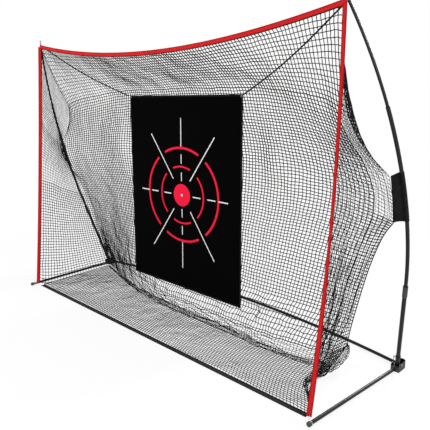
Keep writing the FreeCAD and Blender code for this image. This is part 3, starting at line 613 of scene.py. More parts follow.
# The left shoulder hangs fuller than the right one and keeps close to its pole.
SHOULDER_LEFT = (1.462, -0.100, 1.600)
SEAM_ROOF_LEFT = [TIP, (1.458, -0.275, 1.95), (1.456, -0.215, 1.82), (1.457, -0.15, 1.70),
                  SHOULDER_LEFT]
SEAM_DOWN_LEFT = [SHOULDER_LEFT, (1.480, -0.085, 1.50), (1.522, -0.080, 1.41),
                  (1.585, -0.085, 1.33)] + SEAM_DOWN[4:]
SEAM_BACK_RIGHT = SEAM_DOWN + [(1.565, 0.050, 0.947), (1.514, 0.085, 0.865),
                               (1.464, 0.100, 0.737), (1.431, 0.110, 0.634),
                               (1.403, 0.110, 0.515), (1.379, 0.115, 0.419),
                               (1.354, 0.120, 0.320), (1.337, 0.120, 0.224),
                               (1.326, 0.120, 0.144), (1.275, 0.06, 0.03), (1.262, 0.02, 0.006)]
SEAM_BACK_LEFT = SEAM_DOWN_LEFT + [(1.60, 0.05, 0.92), (1.575, 0.12, 0.70),
                                   (1.55, 0.19, 0.42), (1.525, 0.255, 0.16),
                                   (1.505, 0.285, 0.006)]
FOLD = [(-1.505, 0.285, 0.006), (-1.18, 0.185, 0.006), (-0.84, 0.075, 0.006),
        (-0.47, 0.005, 0.006), (-0.1, -0.015, 0.006), (0.31, -0.015, 0.006),
        (0.6, -0.03, 0.006), (0.84, -0.03, 0.006), (1.02, -0.02, 0.006), (1.14, 0.0, 0.006),
        (1.262, 0.02, 0.006)]
FLOOR_EDGE_RIGHT = [(1.262, 0.02, 0.006), (1.275, -0.10, 0.008), (1.256, -0.20, 0.008),
                    (1.36, -0.335, 0.006), (1.45, -0.462, 0.005)]
FLOOR_EDGE_LEFT = [(1.505, 0.285, 0.006), (1.488, 0.05, 0.006), (1.47, -0.2, 0.006),
                   (1.455, -0.462, 0.005)]


def rounded(points, passes=3):
    """Cuts the corners of a line a few times, and keeps its ends."""
    line = np.array(points, float)
    for _ in range(passes):
        inner = np.empty((2 * (len(line) - 1), 3))
        inner[0::2] = line[:-1] * 0.75 + line[1:] * 0.25
        inner[1::2] = line[:-1] * 0.25 + line[1:] * 0.75
        line = np.vstack([line[:1], inner, line[-1:]])
    return line


def spaced(points, count, passes=3):
    """count + 1 points at even steps along the rounded line."""
    line = rounded(points, passes)
    steps = np.linalg.norm(np.diff(line, axis=0), axis=1)
    travel = np.concatenate([[0], np.cumsum(steps)])
    wanted = np.linspace(0, travel[-1], count + 1)
    return np.stack([np.interp(wanted, travel, line[:, axis]) for axis in range(3)], axis=1)


def flipped(points):
    return [(-x, y, z) for x, y, z in points]


# %% [markdown]
# A patch is first ruled between its edges. Moving each knot to the middle of its four
# neighbours then pulls it tight, as netting is, and a low noise gives back some slack.

# %% Patches between four edges
def patch(top, bottom, left, right):
    """A surface between four edges. top and bottom run along the columns."""
    u = np.linspace(0, 1, len(top))[None, :, None]
    v = np.linspace(0, 1, len(left))[:, None, None]
    ruled = (1 - v) * top[None] + v * bottom[None] + (1 - u) * left[:, None] + u * right[:, None]
    corners = ((1 - u) * (1 - v) * top[0] + u * (1 - v) * top[-1]
               + (1 - u) * v * bottom[0] + u * v * bottom[-1])
    return ruled - corners


def pinned_border(knots):
    """A mask that holds the outermost knots and leaves the others free."""
    pinned = np.ones(knots.shape[:2], bool)
    pinned[1:-1, 1:-1] = False
    return pinned


def relax(knots, pinned, passes):
    """Moves every free knot towards the middle of its four neighbours, again and again."""
    for _ in range(passes):
        middle = (knots[:-2, 1:-1] + knots[2:, 1:-1] + knots[1:-1, :-2] + knots[1:-1, 2:]) / 4
        free = ~pinned[1:-1, 1:-1, None]
        knots[1:-1, 1:-1] = np.where(free, middle, knots[1:-1, 1:-1])
    return knots


def ripple(knots, pinned, waves):
    """Slack netting is never quite flat: each (height, grain) adds a noise of that size."""
    for row, column in zip(*np.nonzero(~pinned)):
        place = Vector(knots[row, column])
        for height, grain in waves:
            knots[row, column] += np.array(noise.noise_vector(place * grain)) * height
    return knots


NET_WAVES = [(0.009, 2.6), (0.005, 9.0), (0.003, 37.0)]

# %% Roof, back wall and floor
COLUMNS = 118
ROOF_ROWS = 15
BACK_ROWS = 80
FLOOR_ROWS = 24
HALF_COLUMNS = COLUMNS // 2
SHOULDER_COLUMNS = 22
ABOVE_FLOOR = 0.005

top_edge = np.array([(x, BORDER_Y + 0.004, border_height(x, 0.013))
                     for x in np.linspace(-TIP[0], TIP[0], COLUMNS + 1)])
top_edge[0], top_edge[-1] = (-TIP[0], TIP[1], TIP[2]), TIP
ridge = spaced(flipped([SHOULDER_LEFT]) + [
    (-1.22, -0.03, 1.665), (-0.9, 0.006, 1.725), (-0.5, 0.014, 1.745), (0.5, 0.014, 1.745),
    (0.9, 0.006, 1.725), (1.15, -0.01, 1.67), SHOULDER], COLUMNS)
fold = spaced(FOLD, COLUMNS)
front_edge = np.array([(x, -0.462, ABOVE_FLOOR) for x in np.linspace(-1.455, 1.45, COLUMNS + 1)])
seam_roof = spaced(SEAM_ROOF, ROOF_ROWS)
seam_roof_left = spaced(flipped(SEAM_ROOF_LEFT), ROOF_ROWS)
seam_right = spaced(SEAM_BACK_RIGHT, BACK_ROWS, 2)
seam_left = spaced(flipped(SEAM_BACK_LEFT), BACK_ROWS, 2)
floor_right = spaced(FLOOR_EDGE_RIGHT, FLOOR_ROWS, 2)
floor_left = spaced(flipped(FLOOR_EDGE_LEFT), FLOOR_ROWS)

roof = patch(top_edge, ridge, seam_roof_left, seam_roof)
back = patch(ridge, fold, seam_left, seam_right)
ground = patch(fold, front_edge, floor_left, floor_right)
bag = np.concatenate([roof[:-1], back[:-1], ground])
held = pinned_border(bag)
held[ROOF_ROWS + BACK_ROWS] = True
held[ROOF_ROWS, SHOULDER_COLUMNS:-SHOULDER_COLUMNS] = True
bag = relax(bag, held, passes=90)
held[ROOF_ROWS, SHOULDER_COLUMNS:-SHOULDER_COLUMNS] = False
bag = relax(bag, held, passes=8)
print("netting bag:", bag.shape[0], "rows of", bag.shape[1], "knots")

# %% [markdown]
# The netting keeps behind the target. Its lowest rows have slumped towards the floor, so
# they crowd together above the fold and bulge to the front, most of all in the middle.

# %% Slump above the fold
TARGET_Y = -0.055
NEAR_HALF, NEAR_TOP = 0.75, 1.76
BAG_CLEARANCE = 0.048
BAG_LEAN = 0.05
LEAN_TOP, LEAN_REACH = 1.7, 1.3
ROOF_OVERLAP = 4
SLUMP_ROWS = 16
SLUMP_PLACES = (-1.5, -1.1, -0.3, 0.6, 1.2)
SLUMP_SHARES = (0.0, 0.25, 1.0, 1.0, 0.7)
SLUMP_BULGE = 0.032
SLUMP_WANDER = (0.010, 0.018, 0.012)
CROWDED_SHARE = 0.55
CROWDING = 0.25
low, high = ROOF_ROWS, ROOF_ROWS + BACK_ROWS
wall = bag[low - ROOF_OVERLAP:high]
near_target = (np.abs(wall[:, :, 0]) < NEAR_HALF) & (wall[:, :, 2] < NEAR_TOP)
lean = np.clip((LEAN_TOP - wall[:, :, 2]) / LEAN_REACH, 0, 1)
clear_y = TARGET_Y + BAG_CLEARANCE + BAG_LEAN * lean
wall[:, :, 1] = np.where(near_target, np.maximum(wall[:, :, 1], clear_y), wall[:, :, 1])
bag = relax(bag, held, passes=6)
slump = np.interp(np.linspace(-1.5, 1.26, COLUMNS + 1), SLUMP_PLACES, SLUMP_SHARES)
roots = bag[high].copy()
tops = bag[high - SLUMP_ROWS].copy()
for step in range(1, SLUMP_ROWS):
    share = step / SLUMP_ROWS
    for column in range(1, COLUMNS):
        crowd = np.interp(share, (0, CROWDED_SHARE, 1),
                          (0, CROWDED_SHARE - CROWDING * slump[column], 1))
        wander = noise.noise_vector(Vector((column * 0.35, step * 0.8, 5.0))) * slump[column]
        place = roots[column] * (1 - crowd) + tops[column] * crowd
        arch = math.sin(share * math.pi)
        place[0] += wander.x * SLUMP_WANDER[0]
        place[1] += (wander.y * SLUMP_WANDER[1] - SLUMP_BULGE * arch) * slump[column]
        place[2] += abs(wander.z) * SLUMP_WANDER[2] * arch
        bag[high - step, column] = place
bag = ripple(bag, held, NET_WAVES)
print("rows crowd above the fold")

# %% [markdown]
# The target can swing back by 2.4 degrees, so the wall also keeps clear of the swung
# sheet. Below the sheet's foot that line turns forward again, towards the fold.

# %% Room for the swing
PIVOT_HEIGHT = 1.679
SWING_BACK = math.radians(2.4)
SWING_GAP = 0.026
SHEET_FOOT = 0.215
FOOT_SLOPE = 1.2
SWING_HALF, SWING_TOP = 0.69, 1.72
wall = bag[low:high]
heights = wall[:, :, 2]
swung_y = TARGET_Y + SWING_GAP + (PIVOT_HEIGHT - heights) * math.tan(SWING_BACK)
swung_y -= FOOT_SLOPE * np.clip(SHEET_FOOT - heights, 0, 0.4)
behind = (np.abs(wall[:, :, 0]) < SWING_HALF) & (heights < SWING_TOP)
wall[:, :, 1] = np.where(behind, np.maximum(wall[:, :, 1], swung_y), wall[:, :, 1])
bag[:, :, 2] = np.maximum(bag[:, :, 2], ABOVE_FLOOR)
print("the wall clears the swung sheet by", SWING_GAP, "m")

# %% [markdown]
# Each side is a patch between the red border, the roof's seam, the pole's seam and the
# floor. Its lower part hangs in upright folds, which slant a little with the pull.

# %% Sides
SIDE_COLUMNS = 25
SIDE_FOLD_PITCH = 21
SIDE_FOLD_SLANT = 0.045
SMOOTH_SHARE = 0.25
SIDE_FRONT = [border_point(share) for share in (0.8, 0.6, 0.4, 0.2, 0.01)]


def side_patch(side, seam_roof, seam_back, floor_edge, folds):
    """Netting from the red border back to the seam, and from the roof's seam to the floor."""
    inside = Vector((-0.004, 0.010, 0))
    front = spaced([TIP] + [tuple(point + inside) for point in SIDE_FRONT], BACK_ROWS, 2)
    top = spaced(seam_roof, SIDE_COLUMNS)
    back_line = spaced(seam_back, BACK_ROWS, 2)
    foot = spaced([tuple(front[-1])] + floor_edge[::-1], SIDE_COLUMNS, 2)
    knots = patch(top, foot, front, back_line)
    pinned = pinned_border(knots)
    knots = relax(knots, pinned, passes=150)
    for row, column in zip(*np.nonzero(~pinned)):
        share = column / SIDE_COLUMNS
        depth = (folds * math.sin(share * math.pi)
                 * min(1.0, max(0.0, row / BACK_ROWS - SMOOTH_SHARE) * 2))
        swing = math.sin(share * SIDE_FOLD_PITCH + row * SIDE_FOLD_SLANT) * depth
        knots[row, column, 0] += swing * 0.8
        knots[row, column, 1] += swing * 0.6
    knots = ripple(knots, pinned, NET_WAVES)
    knots[:, :, 2] = np.maximum(knots[:, :, 2], ABOVE_FLOOR)
    return knots * (side, 1, 1)


right_side = side_patch(1, SEAM_ROOF, SEAM_BACK_RIGHT, FLOOR_EDGE_RIGHT, 0.005)
left_side = side_patch(-1, SEAM_ROOF_LEFT, SEAM_BACK_LEFT, FLOOR_EDGE_LEFT, 0.002)
print("sides:", right_side.shape[:2], left_side.shape[:2])


# %% [markdown]
# Spare netting lies gathered in a rough rope along the fold between the back wall and the
# floor, and piles up in the right rear corner under the seam. A gather is a strip of
# netting rolled loosely round a line, so its section is a crumpled spiral.

# %% Gathers
ROLL_SHARE = 0.62
TWIST_PER_COLUMN = 0.11
GATHER_GRAIN = (0.31, 0.62)
GATHER_WANDER = 0.012
GATHER_LIFT = 0.3
LIFTED_KNOTS = 0.006


def gather(points, columns, rows, radii, layer, flat=0.7, coils=1.7, crumple=0.55):
    """Netting rolled round a line, with a radius given at even steps along it.

    layer picks the noise's third coordinate, so that no two gathers crumple alike.
    """
    line = spaced(points, columns, 2)
    sizes = np.interp(np.linspace(0, 1, columns + 1), np.linspace(0, 1, len(radii)), radii)
    knots = np.zeros((rows + 1, columns + 1, 3))
    for column in range(columns + 1):
        run = Vector(line[min(column + 1, columns)]) - Vector(line[max(column - 1, 0)])
        across = run.cross(Vector((0, 0, 1)))
        across = across.normalized() if across.length > 1e-6 else Vector((1, 0, 0))
        upward = across.cross(run).normalized()
        for row in range(rows + 1):
            turn = row / rows * math.tau * coils + column * TWIST_PER_COLUMN
            wander = noise.noise_vector(Vector((column * GATHER_GRAIN[0], row * GATHER_GRAIN[1],
                                                layer)))
            reach = sizes[column] * (ROLL_SHARE + crumple * wander.x)
            place = (Vector(line[column]) + across * (math.cos(turn) * reach)
                     + upward * (math.sin(turn) * reach * flat)
                     + run.normalized() * (wander.z * GATHER_WANDER))
            place.z = max(place.z + sizes[column] * flat * GATHER_LIFT,
                          ABOVE_FLOOR + abs(wander.y) * LIFTED_KNOTS)
            knots[row, column] = place
    return knots


ROPE = [(-1.46, 0.255, 0.008), (-1.18, 0.175, 0.008), (-0.84, 0.066, 0.010),
        (-0.47, -0.002, 0.012), (-0.1, -0.022, 0.014), (0.31, -0.022, 0.014),
        (0.6, -0.038, 0.014), (0.84, -0.038, 0.013), (1.02, -0.025, 0.012),
        (1.16, 0.0, 0.014), (1.24, 0.02, 0.02)]
ROPE_COLUMNS = 150
rope_gather = gather(ROPE, ROPE_COLUMNS, 9, layer=3.0, flat=0.9,
                     radii=(0.010, 0.013, 0.024, 0.036, 0.036, 0.032, 0.024, 0.026))
PILE = [(1.335, 0.125, 0.155), (1.33, 0.12, 0.12), (1.31, 0.10, 0.075), (1.285, 0.05, 0.045),
        (1.268, -0.01, 0.03), (1.275, -0.08, 0.025), (1.262, -0.16, 0.02),
        (1.254, -0.21, 0.016)]
pile_gather = gather(PILE, 30, 17, layer=9.0, flat=0.8, coils=1.6,
                     radii=(0.012, 0.045, 0.062, 0.070, 0.058, 0.042, 0.030, 0.018))
EDGE_ROLL = [(1.254, -0.21, 0.012), (1.275, -0.25, 0.010), (1.33, -0.305, 0.010),
             (1.385, -0.365, 0.010), (1.44, -0.44, 0.010), (1.466, -0.488, 0.018)]
edge_gather = gather(EDGE_ROLL, 26, 7, layer=21.0,
                     radii=(0.020, 0.010, 0.008, 0.008, 0.009))
print("gathers:", rope_gather.shape[:2], pile_gather.shape[:2], edge_gather.shape[:2])

# %% [markdown]
# A patch of knots becomes netting when every edge of its grid turns into a strand. The
# bmesh wireframe operator does that in one call. A cord is sewn in along the top border.
# The strands are heavier than real twine, as they look in the photograph, and lighter
# where the netting is near the camera or seen edge-on, so that it stays open there.

# %% From knots to strands
WALL_STRAND = 0.0076
ROOF_STRANDS = {"left": 0.0064, "right": 0.0072}
FLOOR_STRAND = 0.0054
LEFT_SHOULDER_STRAND = 0.0046
RIGHT_SHOULDER_STRAND = 0.0027
RIGHT_SIDE_STRAND = 0.0035
GATHERED_STRAND = 0.0028
EDGE_CORD = 0.0030


def strands(shape, knots, thickness):
    """Adds one grid of strands through the given knots."""
    rows, columns = knots.shape[0] - 1, knots.shape[1] - 1
    part = bmesh.new()
    grid = bmesh.ops.create_grid(part, x_segments=columns, y_segments=rows, size=1)
    for vertex, place in zip(grid["verts"], knots.reshape(-1, 3)):
        vertex.co = place
    part.normal_update()
    bmesh.ops.wireframe(part, faces=part.faces, thickness=thickness, use_replace=True,
                        use_boundary=True)
    carrier = bpy.data.meshes.new("strands")
    part.to_mesh(carrier)
    part.free()
    shape.from_mesh(carrier)
    bpy.data.meshes.remove(carrier)


def edge_cord(shape, knots):
    """Adds a thicker cord along a line of knots."""
    mesh = curve_mesh(route_curve("edge", knots, EDGE_CORD, section=1, kind="POLY"))
    shape.from_mesh(mesh)
    bpy.data.meshes.remove(mesh)


def netting_finish():
    finish = Finish("knotted_black_twine")
    fuzz = finish.cloud(900.0, 3.0)
    fade = finish.cloud(4.0, 4.0)
    base = finish.mix(finish.fit(fade, 0.35, 0.75) * 0.6 + (fuzz - 0.5) * 0.5,
                      (0.0022, 0.0022, 0.0024), (0.010, 0.010, 0.011))
    return finish.surface(base_color=base, roughness=0.75, specular_ior_level=0.12,
                          normal=finish.bump(fuzz, 0.0006, 0.5))


twine = netting_finish()
print("strands of the back wall are", WALL_STRAND * 1000, "mm thick")

# %% [markdown]
# The bag is split down the middle, into one half for each side. Each half is one piece:
# patches of the bag, a side, and what is gathered.

# %% Net halves
LOWEST = 0.0004
SEAM_COLUMNS = 4
SEAM_ROW = 46
LOW_ROW = ROOF_ROWS + BACK_ROWS - SLUMP_ROWS // 2
NARROW_ROW = 24
WIDE_ROW = 44
ROPE_MIDDLE = ROPE_COLUMNS // 2

NET_PATCHES = {
    "left": [
        (ROOF_STRANDS["left"], bag[:ROOF_ROWS + 1, :HALF_COLUMNS + 1]),
        (WALL_STRAND, bag[ROOF_ROWS:LOW_ROW + 1, :HALF_COLUMNS + 1]),
        (FLOOR_STRAND, bag[LOW_ROW:, :HALF_COLUMNS + 1]),
        (LEFT_SHOULDER_STRAND, left_side[:NARROW_ROW + 1]),
        (FLOOR_STRAND, left_side[NARROW_ROW:WIDE_ROW + 1]),
        (WALL_STRAND, left_side[WIDE_ROW:]),
        (GATHERED_STRAND, rope_gather[:, :ROPE_MIDDLE + 1]),
    ],
    "right": [
        (ROOF_STRANDS["right"], bag[:ROOF_ROWS + 1, HALF_COLUMNS:]),
        (WALL_STRAND, bag[ROOF_ROWS:LOW_ROW + 1, HALF_COLUMNS:-SEAM_COLUMNS]),
        (RIGHT_SIDE_STRAND, bag[ROOF_ROWS:SEAM_ROW + 1, -SEAM_COLUMNS - 1:]),
        (WALL_STRAND, bag[SEAM_ROW:LOW_ROW + 1, -SEAM_COLUMNS - 1:]),
        (FLOOR_STRAND, bag[LOW_ROW:, HALF_COLUMNS:]),
        (RIGHT_SHOULDER_STRAND, right_side[:WIDE_ROW + 1]),
        (RIGHT_SIDE_STRAND, right_side[WIDE_ROW:]),
        (GATHERED_STRAND, rope_gather[:, ROPE_MIDDLE:]),
        (GATHERED_STRAND, pile_gather),
        (GATHERED_STRAND, edge_gather),
    ],
}
NET_TOPS = {"left": bag[0, :HALF_COLUMNS + 1], "right": bag[0, HALF_COLUMNS:]}
NET_NODES = {
    "left": ["net_back_corner", "net_back_upper"],
    "right": ["net_back_lower", "net_floor"],
}

for name, side in SIDES:
    shape = bmesh.new()
    for thickness, knots in NET_PATCHES[name]:
        strands(shape, knots, thickness)
    edge_cord(shape, NET_TOPS[name])
    for vertex in shape.verts:
        vertex.co.z = max(vertex.co.z, LOWEST)
    area = sum(face.calc_area() for face in shape.faces) / 2
    netting = add_piece("netting_" + name, finish_bmesh("netting_" + name, shape, False), twine,
                        smooth=False)
    panels = [stem + name for stem in ("net_top_", "net_shoulder_", "net_side_", "net_hip_")]
    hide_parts(*panels, *NET_NODES[name])
    stretch_with_pole(netting, name)
    print(netting.name, len(netting.data.polygons), "faces, twine area", round(area, 2))

# %% [markdown]
# ## The pockets
# A black cloth pocket at each side takes the pole and pulls the netting out. Its section
# is one band of cloth: round the pole, and flat on itself towards the net, where it is sewn.
# The flap is skewed by the pull of the netting, and its cloth wrinkles at the lower end.

# %% Pocket cloth
def pocket_finish():
    finish = Finish("plain_black_cloth")
    along, across = finish.cloth_parts()
    weave = (along * 1400.0).maths("SINE") * (across * 1300.0).maths("SINE")
    crease_and_painted_shade = finish.cloud(16.0, 4.0)
    # The cloth is painted darker in the hollows of the crease and weave bump: painted shade.
    base = finish.mix(finish.fit(crease_and_painted_shade, 0.4, 0.7) * 0.7 + weave * 0.1,
                      (0.0018, 0.0018, 0.0020), (0.007, 0.007, 0.0075))
    return finish.surface(base_color=base, roughness=0.5, specular_ior_level=0.14,
                          normal=finish.bump(weave * 0.2 + crease_and_painted_shade, 0.002, 0.5))


cloth = pocket_finish()
print("the pockets have", cloth.name)

# %% Pocket section
POLE_RADIUS = 0.01065
BEND_RADIUS = 3.0
POLE_CENTRE = Vector((-1.30664, 0.01105, 1.04441))
TUBE_WAY = Vector((0.14608, -0.29418, 0.94452))
INWARD_WAY = Vector((-0.98927, -0.04344, 0.13947))
POCKET_TURNS = (8.1, 13.45)
FLAP_TURN = math.radians(27)
FLAP_REACHES = (0.071, 0.056)
TOP_SLOPE = 0.013


def pole_frame(turn):
    """Outward and upward ways at a turn of the right pole, in degrees."""
    angle = math.radians(turn)
    outward = INWARD_WAY * -math.cos(angle) + TUBE_WAY * math.sin(angle)
    upward = TUBE_WAY * math.cos(angle) + INWARD_WAY * math.sin(angle)
    return outward, upward


def pocket_section(reach):
    """Points (outward, sideways) round the pocket, from its sewn edge and back to it."""
    loop_radius = POLE_RADIUS + 0.0016
    arc = [math.radians(degrees) for degrees in range(-160, 161, 16)]
    loop = [(loop_radius * math.cos(a), loop_radius * math.sin(a)) for a in arc]
    outs = [-reach + step * (reach - 0.020) / 12 for step in range(13)]
    return [(x, -0.0014) for x in outs] + loop + [(x, 0.0014) for x in reversed(outs)]


# %% Pockets
SECTION_STEPS = 44
CLOTH_THICKNESS = 0.0009
CLOTH_WAVE = 0.005
WRINKLE = 0.006
WRINKLED_ROWS = 18
SEWN = 0.020
for name, side in SIDES:
    columns = len(pocket_section(1.0)) - 1
    shape = bmesh.new()
    grid = bmesh.ops.create_grid(shape, x_segments=columns, y_segments=SECTION_STEPS, size=1)
    for index, vertex in enumerate(grid["verts"]):
        row, column = divmod(index, columns + 1)
        share = row / SECTION_STEPS
        reach = FLAP_REACHES[0] * (1 - share) + FLAP_REACHES[1] * share
        out, sideways = pocket_section(reach)[column]
        inboard = min(1.0, max(0.0, (-out - 0.015) / (reach - 0.015)))
        turn = POCKET_TURNS[0] + (POCKET_TURNS[1] - POCKET_TURNS[0]) * share
        outward, upward = pole_frame(turn)
        forward = outward.cross(upward)
        slack = min(1.0, max(0.0, (-out - SEWN) / 0.03)) * min(1.0, (out + reach) / 0.012)
        wave = noise.noise(Vector((out * 22, row * 0.16, 4.0))) * CLOTH_WAVE * slack
        wave += (math.sin(row * 0.55 + out * 70) * WRINKLE * slack
                 * max(0, 1 - row / WRINKLED_ROWS))
        flap_out = out * math.cos(FLAP_TURN) + sideways * math.sin(FLAP_TURN)
        flap_side = sideways * math.cos(FLAP_TURN) - out * math.sin(FLAP_TURN) + wave
        point = (POLE_CENTRE + outward * (BEND_RADIUS + flap_out) + forward * flap_side
                 - upward * (TOP_SLOPE * inboard * share))
        vertex.co = mirrored(point, side)
    lay_chart(shape, SECTION_STEPS, columns)
    pocket = add_piece("cloth_pocket_" + name, finish_bmesh("cloth_pocket_" + name, shape), cloth)
    thicken(pocket, CLOTH_THICKNESS)
    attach(pocket, "upper_pole_" + name)
    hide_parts("net_pocket_" + name)
    print(pocket.name, "has", len(pocket.data.polygons), "faces")

# %% [markdown]
# ## The target
# The sheet is black cloth, printed with a plain ring target: a red disc with a white dot,
# two broken red rings, and white dashes and diagonals. The print is a set of masks on the
# piece's own coordinates, so it stays sharp at any distance.

# %% Printed cloth
TARGET_HALF = 0.595
TARGET_LOW = 0.240
TARGET_HIGH = 1.690
PRINT_HEIGHT = (TARGET_LOW + TARGET_HIGH) / 2
RING_WIDENING = 1.08
RINGS = [(0.213, 0.013, 11.0), (0.350, 0.017, 6.5)]
RING_GAP_ANGLE = 55.0
DASHES_UP = [(0.106, 0.170), (0.234, 0.303), (0.361, 0.565)]
DASHES_ACROSS = [(0.120, 0.200), (0.270, 0.350), (0.380, 0.470)]
DASH_HALF = 0.0042
DIAGONAL = ((0.091, 0.114), (0.340, 0.441))


def between(value, low, high):
    return (value > low) * (value < high)


def target_print(finish):
    """Masks of the red and of the white print, which is on the front face alone."""
    x, y, z = finish.parts(finish.place())
    across = abs(x)
    up = abs(z - PRINT_HEIGHT)
    wide = across / RING_WIDENING
    radius = (wide * wide + up * up).maths("SQRT")
    angle = up.maths("ARCTAN2", wide)
    off_gap = abs(angle - math.radians(RING_GAP_ANGLE))
    red = radius < 0.084
    for middle, line, gap in RINGS:
        red = red + between(radius, middle - line / 2, middle + line / 2) * (
            off_gap > math.radians(gap))
    white = radius < 0.009
    for low, high in DASHES_UP:
        white = white + between(up, low, high) * (across < DASH_HALF)
    for low, high in DASHES_ACROSS:
        white = white + between(across, low, high) * (up < DASH_HALF)
    (x0, z0), (x1, z1) = DIAGONAL
    length = math.hypot(x1 - x0, z1 - z0)
    way_x, way_z = (x1 - x0) / length, (z1 - z0) / length
    travel = (across - x0) * way_x + (up - z0) * way_z
    off_line = abs((up - z0) * way_x - (across - x0) * way_z)
    white = white + between(travel, 0.0, length) * (off_line < DASH_HALF)
    front = finish.parts(finish.node("ShaderNodeTexCoord", output="Normal"))[1] < 0.0
    return red * (1 - (radius < 0.009)) * front, white * front


def target_finish():
    finish = Finish("printed_target_cloth")
    red, white = target_print(finish)
    x, y, z = finish.parts(finish.place())
    weave = (x * 3200.0).maths("SINE") * (z * 3200.0).maths("SINE")
    wear = finish.cloud(6.0, 5.0)
    black = finish.mix(wear, (0.0006, 0.0005, 0.0005), (0.0016, 0.0014, 0.0014))
    base = finish.mix(finish.node("ShaderNodeClamp", inputs=[red]), black, (0.72, 0.012, 0.045))
    base = finish.mix(finish.node("ShaderNodeClamp", inputs=[white]), base, (0.66, 0.66, 0.66))
    return finish.surface(base_color=base, roughness=0.9 + (wear - 0.5) * 0.1,
                          specular_ior_level=0.02, normal=finish.bump(weave, 0.0004, 0.35))


# %% [markdown]
# The sheet itself is a fine grid with the slightest wave, and flat along its edges, where
# the tape holds it. Its thickness comes from a Solidify modifier.

# %% Target sheet
SHEET_MARGIN = 0.010
SHEET_THICKNESS = 0.0014
SHEET_WAVE = 0.004
shape = bmesh.new()
columns, rows = 48, 60
grid = bmesh.ops.create_grid(shape, x_segments=columns, y_segments=rows, size=1)
for vertex in grid["verts"]:
    u, v = vertex.co.x, vertex.co.y
    rim = (1 - abs(u) ** 6) * (1 - abs(v) ** 6)
    wave = noise.noise(Vector((u * 1.3, v * 1.1, 2.0))) * SHEET_WAVE * rim
    vertex.co = (u * (TARGET_HALF - SHEET_MARGIN), TARGET_Y + wave,
                 PRINT_HEIGHT + v * ((TARGET_HIGH - TARGET_LOW) / 2 - SHEET_MARGIN))
sheet = add_piece("printed_target", finish_bmesh("printed_target", shape, False),
                  target_finish())
thicken(sheet, SHEET_THICKNESS)
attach(sheet, "target")
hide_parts("target_sheet")
print("target sheet is", 2 * TARGET_HALF, "by", round(TARGET_HIGH - TARGET_LOW, 3), "m")


# %% [markdown]
# A tape is folded over the sheet's edge all round and sewn through. It is a flat ring of
# four mitred sides, given its thickness and rounded edges.

# %% Tape finish
TAPE_WIDTH = 0.020
TAPE_THICKNESS = 0.0044
TAPE_EDGE = 0.0012
SEAM_INSET = 0.0155
THREAD_HALF = 0.0009
STITCHES = 160.0


def tape_finish():
    finish = Finish("sewn_black_tape")
    x, y, z = finish.parts(finish.place())
    ribs = (x * 2600.0).maths("SINE") * (z * 2600.0).maths("SINE")
    side_gap = TARGET_HALF - abs(x)
    end_gap = (TARGET_HIGH - TARGET_LOW) / 2 - abs(z - PRINT_HEIGHT)
    inset = side_gap.maths("MINIMUM", end_gap)
    on_seam = abs(inset - SEAM_INSET) < THREAD_HALF
    along = finish.mix(side_gap < end_gap, (x * STITCHES).maths("FRACT"),
                       (z * STITCHES).maths("FRACT"))
    stitch = on_seam * (along < 0.6)
    base = finish.mix(stitch, (0.0025, 0.0025, 0.0025), (0.012, 0.012, 0.012))
    return finish.surface(base_color=base, roughness=0.8, specular_ior_level=0.08,
                          normal=finish.bump(ribs * 0.4 + stitch, 0.0008, 0.5))


# %% Target binding
shape = bmesh.new()
corners = [shape.verts.new((x * TARGET_HALF, TARGET_Y - TAPE_THICKNESS / 2, z))
           for x, z in ((-1, TARGET_LOW), (1, TARGET_LOW), (1, TARGET_HIGH), (-1, TARGET_HIGH))]
whole = shape.faces.new(corners)
whole.normal_update()
bmesh.ops.inset_individual(shape, faces=[whole], thickness=TAPE_WIDTH)
bmesh.ops.delete(shape, geom=[whole], context="FACES_ONLY")
pushed = bmesh.ops.extrude_face_region(shape, geom=list(shape.faces))
moved = [item for item in pushed["geom"] if isinstance(item, bmesh.types.BMVert)]
bmesh.ops.translate(shape, verts=moved, vec=(0, TAPE_THICKNESS, 0))
bmesh.ops.bevel(shape, geom=list(shape.edges), offset=TAPE_EDGE, segments=2, affect="EDGES",
                profile=0.5, material=-1)
binding = add_piece("target_tape", finish_bmesh("target_tape", shape), tape_finish(),
                    smooth=False)
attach(binding, "target")
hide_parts("target_binding")
print("binding has", len(binding.data.polygons), "faces")

# %% [markdown]
# Each grommet is a pressed metal ring: one profile, spun round the hole's axis. The hole
# is where the target swings, at the height of the joint's axis.

# %% Grommets
GROMMET_OUT = 0.584
GROMMETS = [Vector((side * GROMMET_OUT, TARGET_Y, PIVOT_HEIGHT)) for name, side in SIDES]
GROMMET_PROFILE = [(0.0040, -0.0020), (0.0050, -0.0033), (0.0066, -0.0035), (0.0078, -0.0030),
                   (0.0080, -0.0012), (0.0080, 0.0012), (0.0078, 0.0030), (0.0066, 0.0035),
                   (0.0050, 0.0033), (0.0040, 0.0020)]
shape = bmesh.new()
for centre in GROMMETS:
    loop = [shape.verts.new(centre + Vector((reach, depth, 0)))
            for reach, depth in GROMMET_PROFILE]
    edges = [shape.edges.new((a, b)) for a, b in zip(loop, loop[1:] + loop[:1])]
    bmesh.ops.spin(shape, geom=loop + edges, cent=centre, axis=(0, 1, 0), angle=math.tau,
                   steps=40, use_merge=True)
bmesh.ops.remove_doubles(shape, verts=shape.verts, dist=0.00005)
grommets = add_piece("pressed_grommets", finish_bmesh("pressed_grommets", shape), bolt_steel)
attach(grommets, "target")
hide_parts("target_grommets")
print("grommets have", len(grommets.data.polygons), "faces")

# %% [markdown]
# ## Corner loops
# A white elastic loop holds each lower front corner of the net to the side bar. It goes
# round the bar behind the end cap and up to the foot of the red webbing.

# %% Corner loops
BAR_FRONT = Vector((1.511, -0.540, 0.0144))
BAR_WAY = Vector((-0.06467, -0.99791, -0.00178))
LOOP_RADIUS = 0.0013
RING_REACH = 0.011 + 0.0016
WEB_FOOT = Vector((1.478, -0.505, 0.026))

